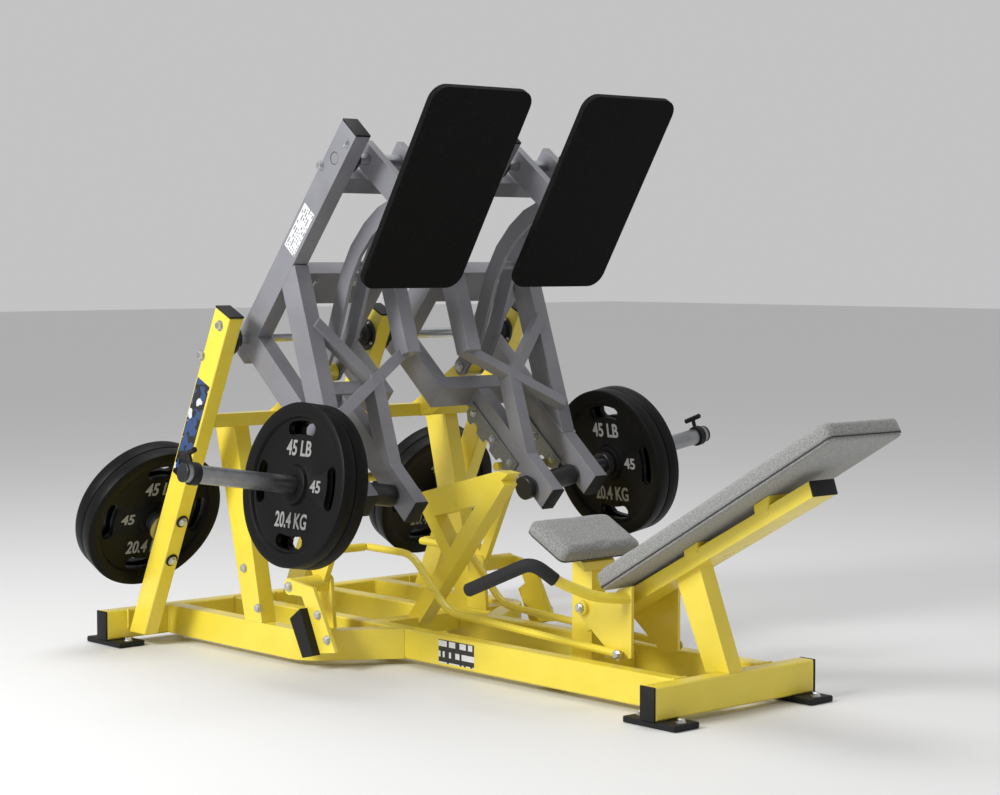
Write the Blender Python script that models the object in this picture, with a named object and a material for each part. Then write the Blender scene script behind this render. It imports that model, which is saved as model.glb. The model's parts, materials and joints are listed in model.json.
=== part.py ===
"""Plate-loaded leg press with two press arms that swing on their own.

Metres, +Z up. X runs across the machine, Y runs from the user's head (low) to the storage posts (high).
Places are first measured from the front of the front cross member and from a level just under the floor,
and the last step moves the whole machine so that its origin is on the floor at the middle of its footprint.
The user lies with the head at low Y, so left is -X. Each side is built by the same function with side = -1 or 1.
"""

import math

import bmesh
import bpy
from mathutils import Matrix, Vector

# ---- driving dimensions -------------------------------------------------------------------------------
GAP = 0.0003                # clearance between pieces that touch
ROUND = 32                  # sides of a round piece: shafts and their bores use the same number
FLOOR = 0.0127              # height of the floor above the level that heights are measured from

TUBE_BOTTOM = 0.029         # underside of the base tubes
BASE_TOP = 0.115            # top of the base tubes
TUBE = 0.050                # width of the main tubes
DEEP = 0.076                # depth of the main tubes
HALF_FRONT = 0.300          # half length of the front cross member
HALF_REAR = 0.650           # half length of the rear cross member
RAIL_X = 0.187              # outer face of a main rail
OUTRIGGER_X = 0.430         # outer face of an outrigger
REAR_Y = 1.943              # front face of the rear cross member
FOOT_SIZE = (0.090, 0.182)

POST_X = 0.551              # middle of an outer post
POST_FOOT = (1.9055, 0.0330)    # middle of a post at its foot (Y, Z)
POST_LEAN = math.radians(25.3)
POST_LENGTH = 1.088

PIVOT = (1.482, 0.943)      # axis of the press arms
TOP_PIVOT = (1.0692, 1.4437)    # axis of the footplate on the arm
LINK_OFFSET = (-0.131, -0.100)  # from an arm pivot to the matching pivot of the curved links
LINK_PIVOT = (PIVOT[0] + LINK_OFFSET[0], PIVOT[1] + LINK_OFFSET[1])
LINK_TOP = (TOP_PIVOT[0] + LINK_OFFSET[0], TOP_PIVOT[1] + LINK_OFFSET[1])
ARM_INNER = 0.091           # inner face of the inner arm beams
ARM_OUTER = 0.462           # outer face of the outer arm beams
ARM_MIDDLE = (ARM_INNER + ARM_OUTER) / 2
SHAFT_RADIUS = 0.016        # pivot shafts of the arms and footplates
LINK_SHAFT = 0.0125         # lower shaft of the curved links
LINK_PIN = 0.010            # upper pin of the curved links

HORN_START = (0.239, 1.038, 0.501)  # weight horn axis at the inner face of the inner horn beam
HORN_END_X = 0.985
HORN_TILT = math.radians(8.9)
HORN_RADIUS = 0.0245
SLEEVE_RADIUS = 0.030
PLATE_RADIUS = 0.225
PLATE_THICK = 0.042
PLATE_BORE = 0.0258

STOP_PIVOT = (1.335, 0.235)
STOP_ROD = (1.379, 0.319)       # rear eye of a link rod
LEVER_PIVOT = (0.470, 0.240)
LEVER_ROD = (0.319, 0.134)      # front eye of a link rod

FOOTPLATE_WIDTH = 0.352
FOOTPLATE_HEIGHT = 0.620
FOOTPLATE_THICK = 0.020
FOOTPLATE_MIDDLE = (0.810, 1.352)
FOOTPLATE_LEAN = math.radians(31.6)

BACK_PAD_SIZE = (0.282, 0.920, 0.052)
SEAT_PAD_SIZE = (0.300, 0.300, 0.060)

SIDES = {"left": -1, "right": 1}

for old in list(bpy.data.objects):
    bpy.data.objects.remove(old, do_unlink=True)


# ---- materials ----------------------------------------------------------------------------------------
def material(name, colour, roughness, metallic=0.0):
    made = bpy.data.materials.new(name)
    made.use_nodes = True
    shader = made.node_tree.nodes["Principled BSDF"]
    shader.inputs["Base Color"].default_value = (*colour, 1.0)
    shader.inputs["Roughness"].default_value = roughness
    shader.inputs["Metallic"].default_value = metallic
    return made


YELLOW = material("yellow_powder_coat", (0.80, 0.66, 0.06), 0.40)
GREY = material("grey_powder_coat", (0.21, 0.21, 0.22), 0.38)
BLACK = material("black_rubber", (0.012, 0.012, 0.012), 0.70)
IRON = material("black_enamelled_iron", (0.012, 0.012, 0.011), 0.45)
STEEL = material("chromed_steel", (0.48, 0.48, 0.50), 0.28, 1.0)
CAST = material("black_cast_iron", (0.020, 0.020, 0.022), 0.50)
PLATE_SKIN = material("black_textured_plate", (0.010, 0.010, 0.010), 0.80)
FABRIC = material("heather_grey_vinyl", (0.36, 0.36, 0.35), 0.85)


# ---- making solids ------------------------------------------------------------------------------------
def finish(obj, skin, bevel=0.0, smooth=False):
    obj.data.materials.clear()
    obj.data.materials.append(skin)
    if smooth:
        obj.data.shade_smooth()
        obj.data.set_sharp_from_angle(angle=math.radians(35))
    if bevel:
        rounding = obj.modifiers.new("rounded_edges", "BEVEL")
        rounding.width = bevel
        rounding.segments = 1
        rounding.limit_method = "ANGLE"
        rounding.angle_limit = math.radians(40)
    return obj


def solid(name, mesh_maker):
    """An object from a function that fills a bmesh."""
    made = bmesh.new()
    mesh_maker(made)
    bmesh.ops.recalc_face_normals(made, faces=made.faces)
    mesh = bpy.data.meshes.new(name)
    made.to_mesh(mesh)
    made.free()
    obj = bpy.data.objects.new(name, mesh)
    bpy.context.collection.objects.link(obj)
    return obj


def extruded(name, outline, start, along):
    """A closed outline of 3-D points, pushed along a vector."""

    def fill(made):
        face = made.faces.new([made.verts.new(start + point) for point in outline])
        pushed = bmesh.ops.extrude_face_region(made, geom=[face])
        moved = [item for item in pushed["geom"] if isinstance(item, bmesh.types.BMVert)]
        bmesh.ops.translate(made, verts=moved, vec=along)

    return solid(name, fill)


def side_plate(name, outline, x_low, x_high):
    """An outline of (Y, Z) points that runs across the machine from x_low to x_high."""
    points = [Vector((0.0, y, z)) for y, z in outline]
    low, high = sorted((x_low, x_high))
    return extruded(name, points, Vector((low, 0, 0)), Vector((high - low, 0, 0)))


def block(name, low, high):
    low_x, high_x = sorted((low[0], high[0]))
    outline = [(low[1], low[2]), (high[1], low[2]), (high[1], high[2]), (low[1], high[2])]
    return side_plate(name, outline, low_x, high_x)


def strut(name, start, end, width, depth, side_axis=(1, 0, 0)):
    """A straight box section from start to end: width along side_axis, depth across it."""
    start, end = Vector(start), Vector(end)
    along = (end - start).normalized()
    across = Vector(side_axis)
    across = (across - along * across.dot(along)).normalized()
    third = along.cross(across)
    corners = [(-1, -1), (1, -1), (1, 1), (-1, 1)]
    outline = [across * (a * width / 2) + third * (b * depth / 2) for a, b in corners]
    return extruded(name, outline, start, end - start)


def turned(name, profile, start, along, steps=ROUND):
    """A solid of revolution: profile is (distance along the axis, radius) from one end to the other."""
    along = Vector(along).normalized()
    turn = along.to_track_quat("Z", "Y").to_matrix().to_4x4()
    place = Matrix.Translation(Vector(start)) @ turn

    def fill(made):
        rings = []
        for distance, radius in profile:
            ring = []
            for step in range(steps):
                angle = 2 * math.pi * step / steps
                point = Vector((radius * math.cos(angle), radius * math.sin(angle), distance))
                ring.append(made.verts.new(place @ point))
            rings.append(ring)
        closed = profile[0] == profile[-1]
        if closed:
            rings[-1] = rings[0]
        else:
            made.faces.new(rings[0])
            made.faces.new(rings[-1])
        for low, high in zip(rings, rings[1:]):
            for step in range(steps):
                after = (step + 1) % steps
                made.faces.new((low[step], low[after], high[after], high[step]))
        bmesh.ops.delete(made, geom=[v for v in made.verts if not v.link_faces], context="VERTS")

    return solid(name, fill)


def round_bar(name, start, end, radius, steps=20):
    start, end = Vector(start), Vector(end)
    return turned(name, [(0, radius), ((end - start).length, radius)], start, end - start, steps)


def bent_tube(name, points, radius, resolution=2):
    """A tube along a smooth route through the points, with closed ends."""
    curve = bpy.data.curves.new(name, "CURVE")
    curve.dimensions = "3D"
    curve.bevel_depth = radius
    curve.bevel_resolution = resolution
    curve.use_fill_caps = True
    spline = curve.splines.new("POLY")
    route = rounded_route([Vector(point) for point in points], 0.045)
    spline.points.add(len(route) - 1)
    for point, place in zip(spline.points, route):
        point.co = (*place, 1.0)
    obj = bpy.data.objects.new(name + "_route", curve)
    bpy.context.collection.objects.link(obj)
    return meshed(name, obj)


def rounded_route(points, radius, steps=4):
    """The corners of a route, each swapped for a short arc."""
    route = [points[0]]
    for before, corner, after in zip(points, points[1:], points[2:]):
        back = (before - corner).normalized()
        onward = (after - corner).normalized()
        reach = min(radius, (before - corner).length * 0.45, (after - corner).length * 0.45)
        first, last = corner + back * reach, corner + onward * reach
        for step in range(steps + 1):
            t = step / steps
            route.append(first * (1 - t) ** 2 + corner * 2 * t * (1 - t) + last * t ** 2)
    route.append(points[-1])
    return route


def meshed(name, obj):
    """The object as it looks with its modifiers, as a plain mesh object with its stray points merged."""
    graph = bpy.context.evaluated_depsgraph_get()
    mesh = bpy.data.meshes.new_from_object(obj.evaluated_get(graph))
    bpy.data.objects.remove(obj, do_unlink=True)
    tidy = bmesh.new()
    tidy.from_mesh(mesh)
    bmesh.ops.remove_doubles(tidy, verts=tidy.verts, dist=0.00003)
    bmesh.ops.dissolve_degenerate(tidy, edges=tidy.edges, dist=0.00003)
    tidy.to_mesh(mesh)
    tidy.free()
    made = bpy.data.objects.new(name, mesh)
    bpy.context.collection.objects.link(made)
    return made


def combined(name, target, others, operation="UNION"):
    """One solid from several: the others are joined to the target or cut from it, one after another."""
    for other in others:
        step = target.modifiers.new("join_or_cut", "BOOLEAN")
        step.operation = operation
        step.object = other
        step.solver = "EXACT"
        target = meshed(name, target)
        bpy.data.objects.remove(other, do_unlink=True)
    target.name = name
    return target


def along_line(point, direction, distance):
    return (point[0] + direction[0] * distance, point[1] + direction[1] * distance)


def unit(vector):
    size = math.hypot(*vector)
    return (vector[0] / size, vector[1] / size)


def beam_outline(start, end, depth, extra_start=0.0, extra_end=0.0):
    """The (Y, Z) outline of a straight member of this depth on the line from start to end."""
    line = unit((end[0] - start[0], end[1] - start[1]))
    across = (line[1] * depth / 2, -line[0] * depth / 2)
    first = along_line(start, line, -extra_start)
    last = along_line(end, line, extra_end)
    return [
        (first[0] + across[0], first[1] + across[1]),
        (last[0] + across[0], last[1] + across[1]),
        (last[0] - across[0], last[1] - across[1]),
        (first[0] - across[0], first[1] - across[1]),
    ]


# ---- base ---------------------------------------------------------------------------------------------
def build_base():
    low, top = TUBE_BOTTOM, BASE_TOP
    finish(block("front_cross_member", (-HALF_FRONT, 0, low), (HALF_FRONT, TUBE, top)), YELLOW, 0.004)
    finish(block("rear_cross_member", (-HALF_REAR, REAR_Y, low), (HALF_REAR, REAR_Y + TUBE, top)), YELLOW, 0.004)
    for side_name, side in SIDES.items():
        rail = block(
            f"main_rail_{side_name}",
            (side * (RAIL_X - TUBE), TUBE + GAP, low),
            (side * RAIL_X, REAR_Y - GAP, top),
        )
        finish(rail, YELLOW, 0.004)
        build_outrigger(side_name, side)
        build_feet(side_name, side)


def build_outrigger(side_name, side):
    """The side rail of the wide rear half, bent inwards at its front to meet the main rail."""
    outer, corner_y, inner_y = OUTRIGGER_X, 1.270, 1.106
    bend_radius, steps = 0.11, 8
    slant = unit((outer - RAIL_X, corner_y - inner_y))
    turn = math.atan2(slant[0], slant[1])
    outside = [(outer, REAR_Y - GAP)]
    inside = [(outer - TUBE, REAR_Y - GAP)]
    tangent = bend_radius * math.tan(turn / 2)
    centre = (outer - bend_radius, corner_y + tangent)
    for step in range(steps + 1):
        angle = turn * step / steps
        for path, reach in ((outside, bend_radius), (inside, bend_radius - TUBE)):
            path.append((centre[0] + reach * math.cos(angle), centre[1] - reach * math.sin(angle)))
    for path in (outside, inside):
        last = path[-1]
        run = (last[0] - RAIL_X - GAP) / slant[0]
        path.append((last[0] - slant[0] * run, last[1] - slant[1] * run))
    outline = [Vector((side * x, y, 0)) for x, y in outside + inside[::-1]]
    rise = Vector((0, 0, BASE_TOP - TUBE_BOTTOM))
    made = extruded("outrigger", outline, Vector((0, 0, TUBE_BOTTOM)), rise)
    finish(combined(f"outrigger_{side_name}", made, lock_mount(side)), YELLOW)


def build_feet(side_name, side):
    width, length = FOOT_SIZE
    for end_name, inner_x, front_y in (("front", 0.210, -0.066), ("rear", 0.560, REAR_Y - 0.066)):
        foot = block(
            f"{end_name}_foot_{side_name}",
            (side * inner_x, front_y, FLOOR),
            (side * (inner_x + width), front_y + length, TUBE_BOTTOM - GAP),
        )
        finish(foot, BLACK, 0.003)


def post_point(distance, forward=0.0):
    """A (Y, Z) place on a post: distance up its middle line, forward towards the user."""
    up = (-math.sin(POST_LEAN), math.cos(POST_LEAN))
    front = (-up[1], up[0])
    return (
        POST_FOOT[0] + up[0] * distance + front[0] * forward,
        POST_FOOT[1] + up[1] * distance + front[1] * forward,
    )


def post_outline():
    """A leaning post with its foot cut to the floor and to the front of the rear cross member."""
    half = DEEP / 2
    up = (-math.sin(POST_LEAN), math.cos(POST_LEAN))
    low, wall = 0.047, REAR_Y - GAP
    front, rear = post_point(0, half), post_point(0, -half)
    front_foot = along_line(front, up, (low - front[1]) / up[1])
    rear_cut = along_line(rear, up, (wall - rear[0]) / up[0])
    foot = [front_foot, (wall, low), rear_cut]
    if rear_cut[1] <= low:
        foot = [front_foot, along_line(rear, up, (low - rear[1]) / up[1])]
    return foot + [post_point(POST_LENGTH, -half), post_point(POST_LENGTH, half)]


def build_posts():
    """Three leaning posts carry the pivot bearings. The middle one carries the rear cross beam as well."""
    for side_name, side in SIDES.items():
        low, high = POST_X - TUBE / 2, POST_X + TUBE / 2
        finish(side_plate(f"post_{side_name}", post_outline(), side * low, side * high), YELLOW, 0.003)

    arch = side_plate("arch", post_outline(), -TUBE / 2, TUBE / 2)
    reach = POST_X - TUBE / 2 - GAP
    parts = [block("cross_beam", (-reach, 1.558, 0.683), (reach, 1.602, 0.721))]
    leg = [(1.687, 0.680), (1.598, 0.712), (1.513, 0.354), (1.461, BASE_TOP + GAP)]
    leg += [(1.546, BASE_TOP + GAP), (1.560, 0.173)]
    arm = beam_outline(LINK_PIVOT, (1.580, 0.702), 0.050)
    for side in SIDES.values():
        parts.append(side_plate("leg", leg, side * 0.380, side * 0.430))
        parts.append(side_plate("link_post", arm, side * 0.2505, side * 0.2995))
        eye = (side * 0.2507, *LINK_PIVOT), (side * 0.2993, *LINK_PIVOT)
        parts.append(round_bar("link_eye", *eye, 0.0265, ROUND))
    arch = combined("rear_arch", arch, parts)
    bores = [
        round_bar("bore", (side * 0.24, *LINK_PIVOT), (side * 0.31, *LINK_PIVOT), LINK_SHAFT + 0.0001, ROUND)
        for side in SIDES.values()
    ]
    finish(combined("rear_arch", arch, bores, "DIFFERENCE"), YELLOW)


# ---- press arms ---------------------------------------------------------------------------------------
ARM_LINE = unit((-0.6365, 0.7713))      # up along the upper beams
ARM_FRONT = (-ARM_LINE[1], ARM_LINE[0])     # towards the user, across the upper beams
LEG_LINE = unit((-0.757, -0.654))       # down along the lower beams, towards the user
LEG_UNDER = (-LEG_LINE[1], LEG_LINE[0])     # below the lower beams
DROP_LINE = unit((-0.320, -0.947))      # down along the struts between upper and lower beams


def arm_point(along, front):
    """A (Y, Z) place from the arm pivot: along the upper beams and towards the user."""
    return along_line(along_line(PIVOT, ARM_LINE, along), ARM_FRONT, front)


def leg_point(along, under):
    """A (Y, Z) place from the arm pivot: down along the lower beams and below them."""
    return along_line(along_line(PIVOT, LEG_LINE, along), LEG_UNDER, under)


def notched_outline():
    """The stop plate under a lower beam, with three scallops for the lock bar."""
    outline = [leg_point(0.278, 0.030), leg_point(0.545, 0.030), leg_point(0.545, 0.070)]
    for centre in (0.4856, 0.409, 0.333):
        for step in range(9):
            angle = math.pi * step / 8
            outline.append(leg_point(centre + 0.018 * math.cos(angle), 0.0895 - 0.018 * math.sin(angle)))
    outline.append(leg_point(0.300, 0.0895))
    outline.append(leg_point(0.278, 0.070))
    return outline


def build_arm(side_name, side):
    inner, outer = (side * ARM_INNER, side * (ARM_INNER + TUBE)), (side * (ARM_OUTER - TUBE), side * ARM_OUTER)
    joined = (inner[1] - side * 0.004, outer[0] + side * 0.004)
    horn_beam = (side * 0.239, side * 0.282)

    upper = beam_outline(arm_point(-0.066, 0), arm_point(0.751, 0), DEEP)
    lower = beam_outline(PIVOT, leg_point(0.680, 0), DEEP, -0.010)
    main = side_plate("arm", upper, *outer)
    inset = (outer[0] + side * 0.0005, outer[1] - side * 0.0005)
    inner_inset = (inner[0] + side * 0.0005, inner[1] - side * 0.0005)
    drop = beam_outline((1.289, 1.140), along_line((1.289, 1.140), DROP_LINE, 0.530), DEEP)
    short_drop = beam_outline((1.271, 1.189), along_line((1.271, 1.189), DROP_LINE, 0.310), 0.055)
    box = beam_outline(leg_point(0.215, 0.019), leg_point(0.265, 0.019), DEEP - 0.001)
    notched = notched_outline()
    parts = [
        side_plate("lower_beam", lower, *inset),
        side_plate("drop", drop, *inset),
        side_plate("inner_beam", upper, *inner),
        side_plate("inner_leg", beam_outline(leg_point(0.0, 0.019), leg_point(0.265, 0.019), DEEP), *inner_inset),
        side_plate("inner_drop", short_drop, *inner_inset),
        side_plate("box_tube", box, *joined),
        side_plate("horn_beam", beam_outline(leg_point(0.262, 0.022), leg_point(0.700, 0.022), DEEP), *horn_beam),
        side_plate("top_tube", beam_outline(arm_point(0.545, -0.006), arm_point(0.595, -0.006), TUBE), *joined),
        side_plate("channel", beam_outline(arm_point(0.148, 0), arm_point(0.261, 0), TUBE), *joined),
        side_plate("lower_drop", beam_outline((1.163, 0.838), (1.073, 0.570), TUBE), *(
            horn_beam[0] + side * 0.0005, horn_beam[1] - side * 0.0005)),
        strut("brace_a", (side * 0.430, 1.206, 0.990), (side * 0.250, 1.147, 0.803), 0.032, 0.032),
        strut("brace_b", (side * 0.105, 1.197, 0.907), (side * 0.428, 1.100, 0.733), 0.032, 0.032),
        side_plate("notched_plate", notched, side * 0.2340, side * 0.2405),
        side_plate("outer_notched_plate", notched, side * 0.4065, side * 0.4130),
    ]
    body = combined("arm", main, parts)
    cuts = [
        round_bar("cut", (side * 0.02, *PIVOT), (side * 0.52, *PIVOT), SHAFT_RADIUS + GAP, ROUND),
        round_bar("cut", (side * 0.02, *TOP_PIVOT), (side * 0.52, *TOP_PIVOT), SHAFT_RADIUS + 0.002, ROUND),
        round_bar("cut", horn_point(side, -0.05), horn_point(side, 0.30), HORN_RADIUS + GAP, ROUND),
    ]
    finish(combined(f"press_arm_{side_name}", body, cuts, "DIFFERENCE"), GREY)

    ends = (side * (TUBE / 2 + GAP), side * (POST_X - TUBE / 2 - GAP))
    shaft = round_bar(f"arm_shaft_{side_name}", (ends[0], *PIVOT), (ends[1], *PIVOT), SHAFT_RADIUS, ROUND)
    finish(shaft, STEEL, 0, True)
    for place, wall, facing in (("outer", ends[1], -side), ("inner", ends[0], side)):
        flange_bearing(f"arm_bearing_{place}_{side_name}", wall, facing, PIVOT, 0.048, 0.024)


def flange_bearing(name, wall, facing, axis, radius, length):
    """A round housing with a flange against the wall at x = wall, and a running bore for the pivot shaft."""
    bore, hub = SHAFT_RADIUS + 0.0001, radius * 0.72
    profile = [(0, bore), (0, radius), (0.008, radius), (0.011, hub), (length, hub)]
    profile += [(length, bore), (0, bore)]
    finish(turned(name, profile, (wall, *axis), (facing, 0, 0)), CAST, 0, True)


def horn_point(side, distance):
    """A place on the axis of a weight horn, outwards from the inner lower beam."""
    return Vector((
        side * (HORN_START[0] + distance * math.cos(HORN_TILT)),
        HORN_START[1],
        HORN_START[2] + distance * math.sin(HORN_TILT),
    ))


def plate_profile(bore):
    """A cast weight plate: thick rim and hub, and a dished web between them."""
    half, web = PLATE_THICK / 2, 0.009
    face = [(half, bore), (half, 0.054), (web, 0.058), (web, 0.180), (half, 0.185), (half, PLATE_RADIUS - 0.003)]
    back = [(-distance, radius) for distance, radius in reversed(face)]
    return face + [(0, PLATE_RADIUS)] + back + [face[0]]


def weight_plate(name, centre, along):
    plate = turned(name, plate_profile(PLATE_BORE), centre, along, ROUND)
    finish(plate, IRON, 0, True)


def build_horn(side_name, side):
    """The weight horn through both lower beams, its two plates and the clip that keeps them on."""
    along = horn_point(side, 1) - horn_point(side, 0)
    length = (HORN_END_X - HORN_START[0]) / math.cos(HORN_TILT)
    collar = (0.530 - HORN_START[0]) / math.cos(HORN_TILT)
    r = HORN_RADIUS
    profile = [(-0.030, 0.030), (-0.028, 0.034), (-0.010, 0.034), (-0.010, r)]
    profile += [(0.052, r), (0.052, 0.030), (0.166, 0.030), (0.166, r)]
    profile += [(collar, r), (collar, 0.036), (collar + 0.022, 0.036), (collar + 0.022, r)]
    profile += [(length - 0.002, r), (length, r - 0.002)]
    finish(turned(f"weight_horn_{side_name}", profile, horn_point(side, 0), along, 28), STEEL, 0, True)
    first = collar + 0.022 + GAP + PLATE_THICK / 2
    weight_plate(f"weight_plate_inner_{side_name}", horn_point(side, first), along)
    weight_plate(f"weight_plate_outer_{side_name}", horn_point(side, first + PLATE_THICK + GAP), along)

    start = horn_point(side, length - 0.042)
    ring = [(0, r + GAP), (0, r + 0.006), (0.020, r + 0.006), (0.020, r + GAP), (0, r + GAP)]
    clip = turned("clip", ring, start, along)
    lift = Vector((0, 0.35, 0.94)).normalized()
    middle = horn_point(side, length - 0.032)
    stem = round_bar("stem", middle + lift * (r + 0.004), middle + lift * (r + 0.030), 0.006, 16)
    cross = Vector((0, 0.94, -0.35))
    top = middle + lift * (r + 0.032)
    handle = round_bar("handle", top - cross * 0.030, top + cross * 0.030, 0.0075, 16)
    finish(combined(f"spring_clip_{side_name}", clip, [stem, handle]), BLACK)


def build_storage(side_name, side):
    """The horn behind an outer post, with two spare plates."""
    along = Vector((0, math.cos(POST_LEAN), math.sin(POST_LEAN)))
    base = post_point(0.360, 0)
    start = Vector((side * POST_X, *base))
    r = HORN_RADIUS
    face = DEEP / 2 + GAP
    profile = [(face, 0.044), (face + 0.009, 0.044), (face + 0.009, 0.034), (0.0820, 0.034)]
    profile += [(0.0820, r), (0.258, r), (0.260, r - 0.002)]
    finish(turned(f"storage_horn_{side_name}", profile, start, along), STEEL, 0, True)
    first = 0.0820 + GAP + PLATE_THICK / 2
    weight_plate(f"stored_plate_front_{side_name}", start + along * first, along)
    weight_plate(f"stored_plate_rear_{side_name}", start + along * (first + PLATE_THICK + GAP), along)


# ---- footplates and their links -----------------------------------------------------------------------
CARRIER_LINE = unit(LINK_OFFSET)


def build_footplate(side_name, side):
    """The plate the foot pushes, the two carriers behind it, and the shaft they turn on."""
    up = Vector((0, -math.sin(FOOTPLATE_LEAN), math.cos(FOOTPLATE_LEAN)))
    back = Vector((0, math.cos(FOOTPLATE_LEAN), math.sin(FOOTPLATE_LEAN)))
    middle = Vector((side * ARM_MIDDLE, *FOOTPLATE_MIDDLE))
    corner = 0.045
    outline = []
    for a, b, turn in ((1, 1, 0), (-1, 1, 90), (-1, -1, 180), (1, -1, 270)):
        across = a * (FOOTPLATE_WIDTH / 2 - corner)
        rise = b * (FOOTPLATE_HEIGHT / 2 - corner)
        for step in range(7):
            angle = math.radians(turn + 15 * step)
            point = Vector((across + corner * math.cos(angle), 0, 0))
            outline.append(point + up * (rise + corner * math.sin(angle)))
    plate = extruded(f"footplate_{side_name}", outline, middle, back * FOOTPLATE_THICK)
    finish(plate, PLATE_SKIN, 0.0015)

    run = middle + back * (FOOTPLATE_THICK + GAP) - Vector((middle.x, *TOP_PIVOT))
    line = Vector((0, *CARRIER_LINE))
    length = run.dot(back) / line.dot(back)
    seat = extruded("seat", [
        Vector((a * 0.080, 0, 0)) + up * b for a, b in ((-1, -0.095), (1, -0.095), (1, 0.095), (-1, 0.095))
    ], Vector((side * 0.279, *TOP_PIVOT)) + line * length, back * 0.006)
    rear = along_line(TOP_PIVOT, CARRIER_LINE, -0.038)
    tip = along_line(TOP_PIVOT, CARRIER_LINE, length + 0.05)
    solids = []
    for x in (0.336, 0.222):
        solids.append(side_plate("carrier", beam_outline(rear, tip, DEEP), side * (x - 0.0125), side * (x + 0.0125)))
    pin = round_bar("pin", (side * 0.230, *LINK_TOP), (side * 0.330, *LINK_TOP), LINK_PIN, ROUND)
    carrier = combined("carrier", solids[0], [solids[1], pin, seat])
    front = middle + back * (FOOTPLATE_THICK + GAP)
    trim = extruded("trim", [
        Vector((a * 0.2, 0, 0)) + up * b for a, b in ((-1, -0.4), (1, -0.4), (1, 0.4), (-1, 0.4))
    ], front - back * 0.3, back * 0.3)
    bore = round_bar("bore", (side * 0.1, *TOP_PIVOT), (side * 0.45, *TOP_PIVOT), SHAFT_RADIUS + GAP, ROUND)
    finish(combined(f"footplate_carrier_{side_name}", carrier, [trim, bore], "DIFFERENCE"), GREY)

    ends = (side * (ARM_INNER + 0.001), *TOP_PIVOT), (side * (ARM_OUTER - 0.001), *TOP_PIVOT)
    finish(round_bar(f"footplate_shaft_{side_name}", *ends, SHAFT_RADIUS, ROUND), STEEL, 0, True)
    walls = (("outer", side * (ARM_OUTER - TUBE - GAP), -side), ("inner", side * (ARM_INNER + TUBE + GAP), side))
    for place, wall, facing in walls:
        flange_bearing(f"footplate_bearing_{place}_{side_name}", wall, facing, TOP_PIVOT, 0.0385, 0.022)


def link_outline():
    """The curved side plate of a link, from its top eye to its lower eye."""
    middle = [LINK_TOP, (1.000, 1.312), (1.056, 1.290), (1.112, 1.250), (1.168, 1.192), (1.212, 1.120)]
    middle += [(1.272, 0.960), (1.312, 0.888), LINK_PIVOT]
    front, rear = [], []
    for number, point in enumerate(middle):
        before, after = middle[max(number - 1, 0)], middle[min(number + 1, len(middle) - 1)]
        line = unit((after[0] - before[0], after[1] - before[1]))
        front.append(along_line(point, (line[1], -line[0]), 0.025))
        rear.append(along_line(point, (line[1], -line[0]), -0.025))
    return front + rear[::-1]


def build_link(side_name, side):
    """A pair of curved plates that keeps the footplate at its angle while the arm swings."""
    outline = link_outline()
    solids = []
    for x in (0.2425, 0.3075):
        low, high = side * (x - 0.006), side * (x + 0.006)
        solids.append(side_plate("link", outline, low, high))
        for eye in (LINK_PIVOT, LINK_TOP):
            ends = (low + side * 0.0002, *eye), (high - side * 0.0002, *eye)
            solids.append(round_bar("eye", *ends, 0.0265))
    solids.append(round_bar("tie", (side * 0.240, 1.190, 1.150), (side * 0.310, 1.190, 1.150), 0.014))
    body = combined("link", solids[0], solids[1:])
    span = side * 0.22, side * 0.33
    cuts = [
        round_bar("cut", (span[0], *LINK_PIVOT), (span[1], *LINK_PIVOT), LINK_SHAFT + GAP, ROUND),
        round_bar("cut", (span[0], *LINK_TOP), (span[1], *LINK_TOP), LINK_PIN + GAP, ROUND),
    ]
    finish(combined(f"curved_link_{side_name}", body, cuts, "DIFFERENCE"), GREY)
    shaft = round_bar(
        f"link_shaft_{side_name}", (side * 0.2345, *LINK_PIVOT), (side * 0.3155, *LINK_PIVOT), LINK_SHAFT, ROUND
    )
    finish(shaft, STEEL, 0, True)


# ---- lock and hand levers -----------------------------------------------------------------------------
def lock_mount(side):
    """The bracket on the outrigger that carries the lock arm, and the stub pin it turns on."""
    plate = [(1.290, 0.098), (1.380, 0.098), (1.365, 0.250), (1.345, 0.262), (1.320, 0.262), (1.305, 0.250)]
    return [
        side_plate("mount", plate, side * 0.288, side * 0.2995),
        block("shelf", (side * 0.2885, 1.2905, 0.097), (side * 0.385, 1.3795, 0.107)),
        round_bar("stub", (side * 0.292, *STOP_PIVOT), (side * 0.4255, *STOP_PIVOT), 0.012, ROUND),
    ]


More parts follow.
